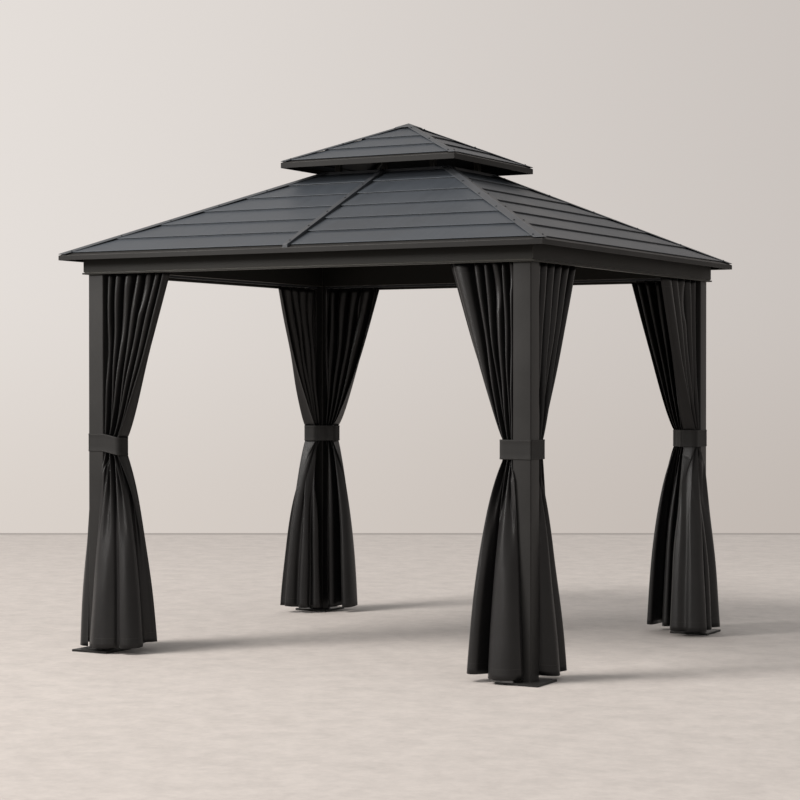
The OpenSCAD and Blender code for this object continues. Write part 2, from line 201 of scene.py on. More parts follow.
# ---- Small tools ----


def adjust(thing, settings):
    """Sets a thing's properties by name."""
    for name, value in settings.items():
        setattr(thing, name, value)
    return thing


def put(tree, kind, settings=None, inputs=None):
    """Adds a node with its settings, in which a colour ramp's stops are [position, colour] pairs, and fills
    its inputs by name or index: a value is set, and a socket, or a node's first output, is linked."""
    made = tree.nodes.new(kind)
    settings = dict(settings or {})
    stops = settings.pop("stops", ())
    adjust(made, settings)
    for number, (position, shade) in enumerate(stops):
        adjust(made.color_ramp.elements[number], {"position": position, "color": shade})
    for name, value in (inputs or {}).items():
        for source in value if isinstance(value, list) else [value]:
            if isinstance(source, bpy.types.Node):
                source = next(socket for socket in source.outputs if socket.enabled)
            if isinstance(source, bpy.types.NodeSocket):
                tree.links.new(source, made.inputs[name])
            else:
                made.inputs[name].default_value = source
    return made


def rgba(rgb, lift=1.0):
    """Linear RGB as RGBA, lightened by a factor."""
    return tuple(min(1.0, c * lift) for c in rgb) + (1.0,)


def mesh_object(name, vertices, faces, edges=()):
    """A mesh object at the world origin."""
    mesh = bpy.data.meshes.new(name)
    mesh.from_pydata([tuple(v) for v in vertices], list(edges), [tuple(f) for f in faces])
    obj = bpy.data.objects.new(name, mesh)
    bpy.context.scene.collection.objects.link(obj)
    return obj


def edit_mesh(mesh, edit):
    """Runs an edit on a mesh."""
    bm = bmesh.new()
    bm.from_mesh(mesh)
    edit(bm)
    bm.to_mesh(mesh)
    bm.free()


def finish_mesh(obj):
    """Applies an object's modifiers to its mesh."""
    bpy.context.view_layer.update()
    graph = bpy.context.evaluated_depsgraph_get()
    done = bpy.data.meshes.new_from_object(obj.evaluated_get(graph), depsgraph=graph)
    old = obj.data
    obj.modifiers.clear()
    obj.data = done
    done.name = obj.name
    bpy.data.meshes.remove(old)


def ride(obj):
    """The piece is fixed to the frame's root body."""
    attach(obj, "root")


def mix(a, b, share):
    """Blend from a to b."""
    return a + (b - a) * share


def smooth(x):
    """Smooth step from 0 to 1."""
    x = np.clip(x, 0, 1)
    return x * x * (3 - 2 * x)


def lengths_along(points):
    """How long a line of [x, y] points is up to each of them."""
    return np.concatenate([[0], np.cumsum(np.hypot(*np.diff(points, axis=0).T))])


def new_material(name):
    """An empty node material, and its tree."""
    mat = bpy.data.materials.new(name)
    mat.use_nodes = True
    mat.node_tree.nodes.clear()
    return mat, mat.node_tree


def close_material(mat, inputs):
    """Ends a material in its shader, with the shader's inputs."""
    shader = put(mat.node_tree, "ShaderNodeBsdfPrincipled", inputs=inputs)
    put(mat.node_tree, "ShaderNodeOutputMaterial", inputs={"Surface": shader})
    return mat


# ---- Materials ----


def powder_coat(name, rgb, lift=1.0, roughness=0.42, specular=0.18):
    """Satin polyester powder coat on aluminium: sprayed as dust and melted to an even skin.
    It gives a soft broad gloss, a faint orange peel about 2 mm across, and slight cloudiness."""
    mat, tree = new_material(name)
    where = put(tree, "ShaderNodeTexCoord").outputs["Object"]
    cloud = put(tree, "ShaderNodeTexNoise", inputs={"Vector": where, "Scale": 4.0, "Detail": 4.0})
    dust = put(tree, "ShaderNodeTexNoise", inputs={"Vector": where, "Scale": 60.0, "Detail": 5.0})
    both = put(tree, "ShaderNodeMath", {"operation": "MULTIPLY_ADD"},
               {0: dust, 1: 0.35, 2: cloud})
    tone = put(tree, "ShaderNodeValToRGB",
               {"stops": ((0.35, rgba(rgb, lift * 0.86)), (0.95, rgba(rgb, lift * 1.16)))}, {"Fac": both})
    rough = put(tree, "ShaderNodeMapRange",
                inputs={"Value": cloud, "To Min": roughness - 0.05, "To Max": roughness + 0.07})
    peel = put(tree, "ShaderNodeTexNoise", inputs={"Vector": where, "Scale": 480.0, "Detail": 2.0})
    bump = put(tree, "ShaderNodeBump",
               inputs={"Height": peel, "Strength": 0.12, "Distance": 0.1 * MM})
    return close_material(mat, {"Base Color": tone, "Roughness": rough, "Normal": bump, "IOR": COAT_IOR,
                                "Specular IOR Level": specular})


def coil_coated_steel(name, rgb, lift=1.0, roughness=0.42, specular=0.17):
    """Coil-coated steel roof sheet: rolled flat, painted in the coil and folded.
    It gives an even satin face that bellies slightly between its folds, with faint runs down the slope."""
    mat, tree = new_material(name)
    where = put(tree, "ShaderNodeTexCoord").outputs["Object"]
    # Rain runs: 25 mm wide across the slope and about 0.4 m long down it, seen from both directions in plan
    runs_x, runs_y = (
        put(tree, "ShaderNodeTexNoise", inputs={
            "Vector": put(tree, "ShaderNodeMapping", inputs={"Vector": where, "Scale": scale}),
            "Scale": 1.0, "Detail": 3.0,
        })
        for scale in ((40.0, 2.5, 2.5), (2.5, 40.0, 2.5))
    )
    facing = put(tree, "ShaderNodeSeparateXYZ",
                 inputs={"Vector": put(tree, "ShaderNodeNewGeometry").outputs["True Normal"]})
    sideways = put(tree, "ShaderNodeMath", {"operation": "ABSOLUTE"}, {0: facing})
    pick = put(tree, "ShaderNodeMath", {"operation": "GREATER_THAN"}, {0: sideways, 1: 0.2})
    runs = put(tree, "ShaderNodeMix", {"data_type": "FLOAT"},
               {"Factor": pick, "A": runs_x, "B": runs_y})
    cloud = put(tree, "ShaderNodeTexNoise", inputs={"Vector": where, "Scale": 2.2, "Detail": 3.0})
    both = put(tree, "ShaderNodeMath", {"operation": "MULTIPLY_ADD"},
               {0: runs, 1: 0.6, 2: cloud})
    tone = put(tree, "ShaderNodeValToRGB",
               {"stops": ((0.5, rgba(rgb, lift * 0.84)), (1.1 / 1.2, rgba(rgb, lift * 1.14)))}, {"Fac": both})
    rough = put(tree, "ShaderNodeMapRange",
                inputs={"Value": both, "From Min": 0.4, "From Max": 1.1,
                        "To Min": roughness - 0.05, "To Max": roughness + 0.08})
    # Oil canning: the thin sheet's belly, a few tenths of a millimetre over a hand's width
    belly = put(tree, "ShaderNodeTexNoise", inputs={"Vector": where, "Scale": 5.0, "Detail": 1.0})
    bump = put(tree, "ShaderNodeBump",
               inputs={"Height": belly, "Strength": 0.35, "Distance": 4 * MM})
    return close_material(mat, {"Base Color": tone, "Roughness": rough, "Normal": bump, "IOR": COAT_IOR,
                                "Specular IOR Level": specular})


def woven_polyester(name, rgb, thread_mm, sheen, roughness):
    """Plain-woven polyester: dyed filament yarns over and under each other.
    It gives a dull face with a soft sheen on the folds, fine slubs along the yarns, and a weave too fine
    to show from afar, so its threads are drawn at the pitch given rather than at their real 0.4 mm."""
    mat, tree = new_material(name)
    where = put(tree, "ShaderNodeUVMap", {"uv_map": "cloth"})
    wave = math.pi / 10 / (thread_mm * MM)  # a wave texture's scale for one thread's pitch
    warp, weft = (
        put(tree, "ShaderNodeTexWave", {"bands_direction": axis},
            {"Vector": where, "Scale": wave, "Distortion": 0.4, "Detail": 1.0, "Detail Scale": 0.3})
        for axis in "XY"
    )
    weave = put(tree, "ShaderNodeMath", {"operation": "MULTIPLY"},
                {0: warp.outputs["Fac"], 1: weft.outputs["Fac"]})
    # Slubs: thicker yarns, 3 mm wide and about 0.25 m long, down the cloth
    stretch = put(tree, "ShaderNodeMapping", inputs={"Vector": where, "Scale": (330.0, 4.0, 1.0)})
    slub = put(tree, "ShaderNodeTexNoise", inputs={"Vector": stretch, "Scale": 1.0, "Detail": 3.0})
    cloud = put(tree, "ShaderNodeTexNoise", inputs={"Vector": where, "Scale": 6.0, "Detail": 3.0})
    both = put(tree, "ShaderNodeMath", {"operation": "MULTIPLY_ADD"},
               {0: slub, 1: 0.5, 2: cloud})
    tone = put(tree, "ShaderNodeValToRGB", {"stops": ((0.45, rgba(rgb, 0.8)), (1.0, rgba(rgb, 1.2)))},
               {"Fac": both})
    height = put(tree, "ShaderNodeMath", {"operation": "MULTIPLY_ADD"},
                 {0: slub, 1: 0.4, 2: weave})
    bump = put(tree, "ShaderNodeBump",
               inputs={"Height": height, "Strength": 0.5, "Distance": 0.25 * MM})
    return close_material(mat, {"Base Color": tone, "Normal": bump, "Roughness": roughness, "IOR": 1.46,
                                "Specular IOR Level": 0.34, "Sheen Weight": sheen, "Sheen Roughness": 0.35})


def sewing_thread(name, rgb):
    """Twisted polyester sewing thread, with a slight lustre, and its twisted ply drawn as painted shade
    between the turns and painted highlight on them.
    """
    mat, tree = new_material(name)
    where = put(tree, "ShaderNodeTexCoord").outputs["Object"]
    ply = put(tree, "ShaderNodeTexWave", {"bands_direction": "DIAGONAL"}, {"Vector": where, "Scale": 400.0})
    # Painted shade between the ply's turns and painted highlight on them
    tone = put(tree, "ShaderNodeValToRGB", {"stops": ((0, rgba(rgb, 0.7)), (1, rgba(rgb, 1.15)))},
               {"Fac": ply.outputs["Fac"]})
    return close_material(mat, {"Base Color": tone, "Roughness": 0.55})


def moulded_acetal(name, rgb):
    """Injection-moulded acetal: a smooth, slightly waxy plastic with faint flow clouds."""
    mat, tree = new_material(name)
    where = put(tree, "ShaderNodeTexCoord").outputs["Object"]
    flow = put(tree, "ShaderNodeTexNoise", inputs={"Vector": where, "Scale": 90.0, "Detail": 2.0})
    tone = put(tree, "ShaderNodeValToRGB", {"stops": ((0, rgba(rgb, 0.85)), (1, rgba(rgb, 1.2)))},
               {"Fac": flow})
    return close_material(mat, {"Base Color": tone, "Roughness": 0.32, "IOR": 1.48})


def trowelled_floor(name, rgb):
    """Trowelled mineral floor: matte, with soft clouds a few hand-widths across and a fine grit."""
    mat, tree = new_material(name)
    where = put(tree, "ShaderNodeTexCoord").outputs["Object"]
    cloud = put(tree, "ShaderNodeTexNoise",
                inputs={"Vector": where, "Scale": 5.5, "Detail": 8.0, "Roughness": 0.66})
    grit = put(tree, "ShaderNodeTexNoise",
               inputs={"Vector": where, "Scale": 19.0, "Detail": 6.0, "Roughness": 0.7})
    both = put(tree, "ShaderNodeMath", {"operation": "MULTIPLY_ADD"},
               {0: grit, 1: 0.6, 2: cloud})
    tone = put(tree, "ShaderNodeValToRGB",
               {"stops": ((0.55, rgba(rgb, 0.90)), (1.05 / 1.1, rgba(rgb, 1.09)))}, {"Fac": both})
    bump = put(tree, "ShaderNodeBump",
               inputs={"Height": grit, "Strength": 0.15, "Distance": 2 * MM})
    # A shadow line at its far edge, against the wall
    away = put(tree, "ShaderNodeVectorMath", {"operation": "DOT_PRODUCT"}, {0: where, 1: tuple(AHEAD)})
    edge = put(tree, "ShaderNodeMapRange", {"interpolation_type": "SMOOTHSTEP"},
               {"Value": away, "From Min": FLOOR_END - 0.35, "From Max": FLOOR_END - 0.1})
    lined = put(tree, "ShaderNodeMix", {"data_type": "RGBA"},
                {"Factor": edge, "A": tone, "B": rgba(rgb, 0.7)})
    # It throws less light back than it shows, so that the frame's undersides stay dark
    seen = put(tree, "ShaderNodeLightPath").outputs["Is Diffuse Ray"]
    dull = put(tree, "ShaderNodeMix", {"data_type": "RGBA"},
               {"Factor": seen, "A": lined, "B": rgba(rgb, 0.3)})
    return close_material(mat, {"Base Color": dull, "Normal": bump, "Roughness": 0.85,
                                "Specular IOR Level": 0.25})


# ---- Repeats made with Geometry Nodes ----


def new_tree(name, sockets):
    """A Geometry Nodes tree with a geometry input and output and the named inputs, each given as
    (name, socket type)."""
    tree = bpy.data.node_groups.new(name, "GeometryNodeTree")
    tree.interface.new_socket("Geometry", in_out="OUTPUT", socket_type="NodeSocketGeometry")
    tree.interface.new_socket("Geometry", in_out="INPUT", socket_type="NodeSocketGeometry")
    for label, kind in sockets:
        tree.interface.new_socket(label, in_out="INPUT", socket_type=kind)
    return tree, put(tree, "NodeGroupInput").outputs


def close_tree(tree, instances, material):
    """Ends a tree in Realize Instances and Set Material."""
    real = put(tree, "GeometryNodeRealizeInstances", inputs={"Geometry": instances})
    done = put(tree, "GeometryNodeSetMaterial", inputs={"Geometry": real, "Material": material})
    put(tree, "NodeGroupOutput", inputs={0: done})
    return tree


def run_tree(obj, tree, values):
    """Runs a tree on an object with the named input values, and keeps what comes out as its mesh."""
    modifier = obj.modifiers.new(tree.name, "NODES")
    modifier.node_group = tree
    for item in tree.interface.items_tree:
        if item.in_out == "INPUT" and item.name in values:
            modifier[item.identifier] = values[item.name]
    finish_mesh(obj)


def screws_tree():
    """A washer and a hexagonal head on every point, standing along the point's facing attribute."""
    tree, given = new_tree("screws_on_points", [
        ("Head Width", "NodeSocketFloat"), ("Seed", "NodeSocketInt"), ("Material", "NodeSocketMaterial"),
    ])
    radius = put(tree, "ShaderNodeMath", {"operation": "MULTIPLY"}, {0: given["Head Width"], 1: 0.5})
    height = put(tree, "ShaderNodeMath", {"operation": "MULTIPLY"}, {0: given["Head Width"], 1: 0.42})
    brim = put(tree, "ShaderNodeMath", {"operation": "MULTIPLY"}, {0: given["Head Width"], 1: 0.85})
    head = put(tree, "GeometryNodeMeshCylinder",
               inputs={"Vertices": 6, "Radius": radius, "Depth": height})
    lift = put(tree, "ShaderNodeMath", {"operation": "MULTIPLY"}, {0: height, 1: 0.75})
    up = put(tree, "ShaderNodeCombineXYZ", inputs={"Z": lift})
    raised = put(tree, "GeometryNodeTransform",
                 inputs={"Geometry": head, "Translation": up})
    washer = put(tree, "GeometryNodeMeshCylinder",
                 inputs={"Vertices": 14, "Radius": brim, "Depth": 1.6 * MM})
    both = put(tree, "GeometryNodeJoinGeometry", inputs={"Geometry": [raised, washer]})
    facing = put(tree, "GeometryNodeInputNamedAttribute", {"data_type": "FLOAT_VECTOR"}, {"Name": "facing"})
    stand = put(tree, "FunctionNodeAlignRotationToVector", {"axis": "Z"}, {"Vector": facing})
    turn = put(tree, "FunctionNodeRandomValue", {"data_type": "FLOAT"},
               {"Min": 0.0, "Max": math.pi / 3, "Seed": given["Seed"]})
    spin = put(tree, "FunctionNodeAxisAngleToRotation",
               inputs={"Axis": (0, 0, 1), "Angle": turn})
    pose = put(tree, "FunctionNodeRotateRotation", {"rotation_space": "LOCAL"},
               {"Rotation": stand, "Rotate By": spin})
    placed = put(tree, "GeometryNodeInstanceOnPoints",
                 inputs={"Points": given["Geometry"], "Instance": both,
                         "Rotation": pose})
    return close_tree(tree, placed, given["Material"])


def stitches_tree():
    """Short lengths of thread along each path, a pitch apart, with a little slack in their heading."""
    tree, given = new_tree("stitches_along_paths", [
        ("Pitch", "NodeSocketFloat"), ("Stitch Length", "NodeSocketFloat"),
        ("Thread Radius", "NodeSocketFloat"), ("Seed", "NodeSocketInt"), ("Material", "NodeSocketMaterial"),
    ])
    path = put(tree, "GeometryNodeMeshToCurve", inputs={"Mesh": given["Geometry"]})
    even = put(tree, "GeometryNodeResampleCurve", {"mode": "LENGTH"},
               {"Curve": path, "Length": given["Pitch"]})
    stitch = put(tree, "GeometryNodeMeshCylinder",
                 inputs={"Vertices": 5, "Radius": given["Thread Radius"], "Depth": given["Stitch Length"]})
    tangent = put(tree, "GeometryNodeInputTangent")
    slack = put(tree, "FunctionNodeRandomValue", {"data_type": "FLOAT_VECTOR"},
                {"Min": (-0.06,) * 3, "Max": (0.06,) * 3, "Seed": given["Seed"]})
    aim = put(tree, "ShaderNodeVectorMath", {"operation": "ADD"},
              {0: tangent, 1: slack})
    along = put(tree, "FunctionNodeAlignRotationToVector", {"axis": "Z"}, {"Vector": aim})
    placed = put(tree, "GeometryNodeInstanceOnPoints",
                 inputs={"Points": even, "Instance": stitch,
                         "Rotation": along})
    return close_tree(tree, placed, given["Material"])


def gliders_tree():
    """A stem, a foot and an eye that hangs under it, on every point."""
    tree, given = new_tree("gliders_on_points", [
        ("Stem Radius", "NodeSocketFloat"), ("Stem Length", "NodeSocketFloat"),
        ("Eye Radius", "NodeSocketFloat"), ("Material", "NodeSocketMaterial"),
    ])
    stem = put(tree, "GeometryNodeMeshCylinder",
               inputs={"Vertices": 8, "Radius": given["Stem Radius"], "Depth": given["Stem Length"]})
    foot = put(tree, "GeometryNodeMeshCylinder",
               inputs={"Vertices": 10, "Radius": 4.5 * MM, "Depth": 1.6 * MM})
    low = put(tree, "ShaderNodeMath", {"operation": "MULTIPLY"}, {0: given["Stem Length"], 1: -0.5})
    down = put(tree, "ShaderNodeCombineXYZ", inputs={"Z": low})
    foot_low = put(tree, "GeometryNodeTransform",
                   inputs={"Geometry": foot, "Translation": down})
    ring = put(tree, "GeometryNodeCurvePrimitiveCircle",
               inputs={"Resolution": 12, "Radius": given["Eye Radius"]})
    wire = put(tree, "GeometryNodeCurvePrimitiveCircle", inputs={"Resolution": 5, "Radius": 0.8 * MM})
    eye = put(tree, "GeometryNodeCurveToMesh",
              inputs={"Curve": ring, "Profile Curve": wire})
    below = put(tree, "ShaderNodeMath", {"operation": "SUBTRACT"}, {0: low, 1: given["Eye Radius"]})
    hang = put(tree, "ShaderNodeCombineXYZ", inputs={"Z": below})
    eye_low = put(tree, "GeometryNodeTransform",
                  inputs={"Geometry": eye, "Translation": hang,
                          "Rotation": (math.pi / 2, 0, 0)})
    whole = put(tree, "GeometryNodeJoinGeometry", inputs={"Geometry": [stem, foot_low, eye_low]})
    facing = put(tree, "GeometryNodeInputNamedAttribute", {"data_type": "FLOAT_VECTOR"}, {"Name": "facing"})
    turn = put(tree, "FunctionNodeAlignRotationToVector", {"axis": "X"}, {"Vector": facing})
    placed = put(tree, "GeometryNodeInstanceOnPoints",
                 inputs={"Points": given["Geometry"], "Instance": whole,
                         "Rotation": turn})
    return close_tree(tree, placed, given["Material"])


def weld_tree():
    """A rippled bead of weld along each path."""
    tree, given = new_tree("weld_along_paths", [
        ("Bead Radius", "NodeSocketFloat"), ("Ripple Pitch", "NodeSocketFloat"),
        ("Material", "NodeSocketMaterial"),
    ])
    path = put(tree, "GeometryNodeMeshToCurve", inputs={"Mesh": given["Geometry"]})
    quarter = put(tree, "ShaderNodeMath", {"operation": "MULTIPLY"}, {0: given["Ripple Pitch"], 1: 0.25})
    even = put(tree, "GeometryNodeResampleCurve", {"mode": "LENGTH"},
               {"Curve": path, "Length": quarter})
    index = put(tree, "GeometryNodeInputIndex")
    angle = put(tree, "ShaderNodeMath", {"operation": "MULTIPLY"}, {0: index, 1: math.pi / 2})
    swing = put(tree, "ShaderNodeMath", {"operation": "SINE"}, {0: angle})
    swell = put(tree, "ShaderNodeMath", {"operation": "MULTIPLY_ADD"}, {0: swing, 1: 0.09, 2: 1.0})
    thick = put(tree, "ShaderNodeMath", {"operation": "MULTIPLY"},
                {0: swell, 1: given["Bead Radius"]})
    profile = put(tree, "GeometryNodeCurvePrimitiveCircle", inputs={"Resolution": 8, "Radius": 1.0})
    bead = put(tree, "GeometryNodeCurveToMesh",
               inputs={"Curve": even, "Profile Curve": profile,
                       "Scale": thick, "Fill Caps": True})
    return close_tree(tree, bead, given["Material"])


def points_object(name, points, facings):
    """Loose points, each with the direction it faces."""
    obj = mesh_object(name, points, [])
    attribute = obj.data.attributes.new("facing", "FLOAT_VECTOR", "POINT")
    attribute.data.foreach_set("vector", np.asarray(facings, np.float32).ravel())
    return obj


# ---- Painted metal ----

MERGED = 0.02 * MM  # points this near to each other become one
POST_NODES = (*(f"post_{corner}" for corner in CORNERS), "base_plates")
BEAM_NODES = (*(f"beam_{side}" for side in SIDES),
              "hip_rafters", "mid_rafters", "vent_struts", "cap_hub", "cap_rafters")
ROOF_NODES = (*(f"roof_{part}" for part in (*CORNERS, "left", "right")), *(f"cap_{side}" for side in SIDES))


def eased_copy(node, width, coats, backing_and_shade=None):
    """A merged copy of a node with eased edges, which stands for it. coats is the flat faces' material and
    the edges' lighter one, which paints a highlight along the eased edges; the underside coat, if given,
    coats the faces that look down, near-black as painted shade under the roof."""
    source = frame["nodes"][node].data
    points = np.empty(len(source.vertices) * 3)
    source.vertices.foreach_get("co", points)
    points = points.reshape(-1, 3)
    _, first, kept = np.unique(np.round(points / MERGED), axis=0, return_index=True, return_inverse=True)
    kept = kept.ravel()
    faces = [tuple(kept[v] for v in polygon.vertices) for polygon in source.polygons]
    faces = [f for f in faces if len(set(f)) == len(f)]
    obj = mesh_object(f"{node}_painted", points[first], faces)
    edit_mesh(obj.data, lambda bm: bmesh.ops.dissolve_limit(
        bm, angle_limit=FLAT, verts=bm.verts, edges=bm.edges))
    for coat in coats:
        obj.data.materials.append(coat)
    # Faces that look down take the underside coat, near-black as painted shade under the roof
    if backing_and_shade:
        obj.data.materials.append(backing_and_shade)
        for polygon in obj.data.polygons:
            if polygon.normal.z < -0.5:
                polygon.material_index = 2
    obj.data.shade_smooth()
    obj.data.set_sharp_from_angle(angle=SHARP)
    # The bevel's faces take the second, lighter coat: a painted highlight along the edges, partly a rubbed
    # coat
    adjust(obj.modifiers.new("eased_edges", "BEVEL"), {
        "width": width, "segments": 2, "limit_method": "ANGLE", "angle_limit": SHARP, "material": 1,
        "harden_normals": True,
    })
    finish_mesh(obj)
    ride(obj)
    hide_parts(node)


class GAZEBO_OT_paint_frame(bpy.types.Operator):
    """Coats the posts, beams, roof and trims, and eases their edges"""

    bl_idname = "gazebo.paint_frame"
    bl_label = "Paint Frame"

    def execute(self, context):
        s = context.scene.gazebo_paint
        # Each second coat is the lighter edge copy: a painted highlight on the eased edges, partly a rubbed
        # coat
        posts = [powder_coat("powder_coat_charcoal", s.post),
                 powder_coat("powder_coat_charcoal_edge_highlight", s.post, s.edge_wear_and_highlight, 0.34)]
        # The beams' edge copy is painted far lighter, a painted highlight along their bottom lip
        beams = [powder_coat("powder_coat_dark_brown", s.beam, 1.0, 0.55, 0.16),
                 powder_coat("powder_coat_dark_brown_edge_highlight", s.beam, 3.5 * s.edge_wear_and_highlight, 0.34)]
        roof = [coil_coated_steel("coil_coated_steel_slate", s.roof),
                coil_coated_steel("coil_coated_steel_slate_edge_highlight", s.roof, s.edge_wear_and_highlight, 0.32)]
        trim = [coil_coated_steel("coil_coated_steel_charcoal", s.trim),
                coil_coated_steel("coil_coated_steel_charcoal_edge_highlight", s.trim, s.edge_wear_and_highlight, 0.32)]
        # The roof's underside coat is near-black, as painted shade under the roof
        backing_and_shade = powder_coat("backing_coat_black_painted_shade", s.backing_and_shade, 1.0, 0.6)
        # The drip edges' edge copy is painted lighter, a painted highlight along their rims
        fascia = [coil_coated_steel("coil_coated_steel_black", s.fascia, 1.0, 0.52, 0.16),
                  coil_coated_steel("coil_coated_steel_black_edge_highlight", s.fascia, 2.5 * s.edge_wear_and_highlight, 0.32)]
        for nodes, width, coats, slot, under in (
            (POST_NODES, s.ease, posts, "post_paint", None),
            (BEAM_NODES, s.ease, beams, "beam_paint", None),
            (ROOF_NODES, s.sheet_ease, roof, "roof_paint", backing_and_shade),
            (("roof_ribs", "vent_curb"), s.ease, trim, "trim_paint", None),
            (("hip_caps", "cap_hip_caps", "apex_cap"), s.sheet_ease, trim, "trim_paint", None),
            (("drip_edges", "cap_drip_edges"), s.sheet_ease, fascia, "trim_paint", None),
            (("curtain_rails",), 0.4 * MM, trim, "trim_paint", None),
        ):
            for node in nodes:
                eased_copy(node, width, coats, under)
        return {"FINISHED"}


# ---- Curtains ----
#
# A curtain is worked out in its post's corner: u runs along the rail from the post's inner side, v across
# it from the post's outer face inwards. Pleats are given as marks, the turns of its folds, each
# [share of the cloth's width, u, v].

# Where the valleys between the pleats lie at the rail, as shares of its reach
PLEATS = {
    "front_right": (0.10, 0.22, 0.37, 0.50, 0.64),
    "front_left": (0.12, 0.28, 0.46, 0.62, 0.77, 0.91),
    "back_left": (0.13, 0.33, 0.54, 0.77),
    "back_right": (0.16, 0.34, 0.52, 0.70, 0.86),
    "right_front": (0.16, 0.33, 0.50, 0.68, 0.85),
    "left_front": (0.13, 0.30, 0.44, 0.61, 0.79),
    "right_back": (0.16, 0.34, 0.56, 0.78),
    "left_back": (0.20, 0.40, 0.62, 0.82),
}
# Pleats whose ridge is pinched into two under the heading: (ridge number, depth, lowest and highest height)
PINCHED = {
    "front_right": ((2, 0.020, 1.86, 2.09), (0, 0.012, 1.95, 2.10)),
    "front_left": ((4, 0.016, 1.88, 2.10), (2, 0.010, 1.70, 2.02)),
    "back_left": ((3, 0.016, 1.90, 2.10),),
    "back_right": ((1, 0.014, 1.92, 2.10),),
    "right_front": (),
    "left_front": ((3, 0.012, 1.92, 2.10),),
    "right_back": ((2, 0.014, 1.85, 2.08),),
    "left_back": ((1, 0.016, 1.88, 2.09),),
}
# Each hem's outline as [u, v, height above the ground] in millimetres, from the post's side onwards
HEMS = {
    "front_right": (
        (-65, -16, 27), (-60, -48, 26), (-18, -88, 25), (45, -96, 24), (98, -74, 28), (113, -26, 32),
        (103, 20, 36), (122, 34, 38), (148, -16, 40), (172, -70, 42), (212, -76, 43), (234, -34, 46),
        (224, 30, 46), (192, 84, 45), (150, 116, 44),
    ),
    "front_left": (
        (-65, -18, 34), (-56, -54, 33), (-2, -90, 32), (60, -88, 32), (108, -64, 34), (130, -38, 34),
        (162, -62, 35), (214, -54, 36), (246, -8, 38), (244, 34, 42), (220, 62, 48), (216, 98, 54),
        (246, 124, 56), (254, 156, 56),
    ),
    "back_left": (
        (4, 22, 36), (18, -36, 38), (44, -66, 40), (66, -20, 38), (62, 60, 36), (60, 126, 33),
        (86, 158, 32), (110, 130, 33), (112, 50, 36), (116, -30, 40), (142, -80, 40), (170, -40, 40),
        (168, 60, 36), (164, 128, 33), (196, 150, 32), (226, 112, 35), (230, 50, 40), (214, 12, 42),
    ),
    "back_right": (
        (4, 20, 36), (22, -40, 35), (46, -76, 34), (74, -44, 35), (80, 50, 37), (78, 128, 38),
        (104, 156, 38), (134, 120, 37), (138, 30, 35), (142, -50, 34), (172, -82, 34), (196, -30, 36),
        (190, 60, 39), (198, 130, 40), (228, 132, 42), (234, 76, 44), (226, 24, 44),
    ),
    "right_front": (
        (4, 8, 34), (18, -34, 32), (56, -76, 30), (104, -64, 31), (120, -8, 34), (146, -46, 38),
        (188, -66, 42), (226, -24, 43), (220, 46, 45), (172, 110, 46),
    ),
    "left_front": (
        (-97, -7, 24), (-90, -62, 26), (-40, -97, 30), (30, -82, 32), (70, -22, 33), (92, 4, 34),
        (120, -50, 36), (160, -86, 38), (202, -50, 39), (204, 40, 40), (180, 110, 42),
    ),
    "right_back": (
        (-98, -36, 36), (-92, -86, 38), (-54, -98, 40), (-14, -76, 40), (6, -42, 39), (26, -46, 38),
        (50, -88, 38), (90, -92, 37), (106, -56, 36), (146, -94, 36), (198, -74, 35), (222, -22, 34),
        (206, 20, 34), (224, 60, 34), (212, 106, 35), (168, 126, 36), (120, 122, 38),
    ),
    "left_back": (
        (4, 20, 40), (22, -40, 40), (56, -82, 40), (90, -60, 39), (98, 30, 37), (102, 120, 35),
        (130, 158, 34), (164, 140, 34), (160, 96, 34), (206, 100, 35), (226, 62, 37), (198, 30, 38),
        (232, 2, 41), (240, -40, 44), (208, -64, 44), (214, -94, 44),
    ),
}
# How far each curtain reaches along its rail past the frame's figure, the power of the height by which
# it spreads above its tie (low where it hangs full, near 1 where it is pulled straight), and the share of
# the fall below the tie within which it swings out
GATHER = {
    "front_right": (0.0, 0.86, 0.6), "front_left": (0.034, 0.88, 0.9), "back_left": (0.028, 0.80, 0.6),
    "back_right": (-0.018, 0.84, 0.45), "right_front": (0.028, 0.88, 1.1), "left_front": (0.0, 0.80, 0.4),
    "right_back": (0.0, 0.84, 0.6), "left_back": (-0.040, 0.80, 0.67),
}
SAG = {"front_left": 0.022}  # how far a bunch and the tie round it have slipped down at its outer end
LOOSE = {"front_left": 0.028}  # how much further a bunch reaches under its tie
# How much of its reach past the post a hem's outline has right under the tie
FLARED = {"left_front": 0.6, "front_right": 0.12, "right_back": 0.4}
PLEAT_DEPTH = 0.062
COLUMNS_EACH = 10  # columns of the cloth's mesh between two turns of its folds
STEEP = 0.08  # how upright the pleats' flanks stand
ROWS = (46, 5, 54)  # rows above the tie, inside it and below it
CROWDED = 1.35  # the power that crowds the rows near the tie
CLEAR = 3 * MM  # how far the cloth stays from the post
# How the folds vary above the tie: the height of a wave sideways and of one in depth, and how large they and
# the bow of a whole fold are, as shares of a fold
SWAY_PITCH, SWAY, BOW = 0.62, 0.14, 0.24
BREATH_PITCH, BREATH = 0.42, 0.12
PINCH_WIDTH = 0.42  # of a pinch, as a share of half a pleat
HEADING_DIP = 4 * MM  # how far the heading dips between the gliders
# The shares of the fall in which the tie's folds fade out, and in which the hem's outline comes forward
FADE_FALL, FLARE_FALL = 0.6, 0.10
RIPPLE = 3 * MM  # of the cloth below the tie


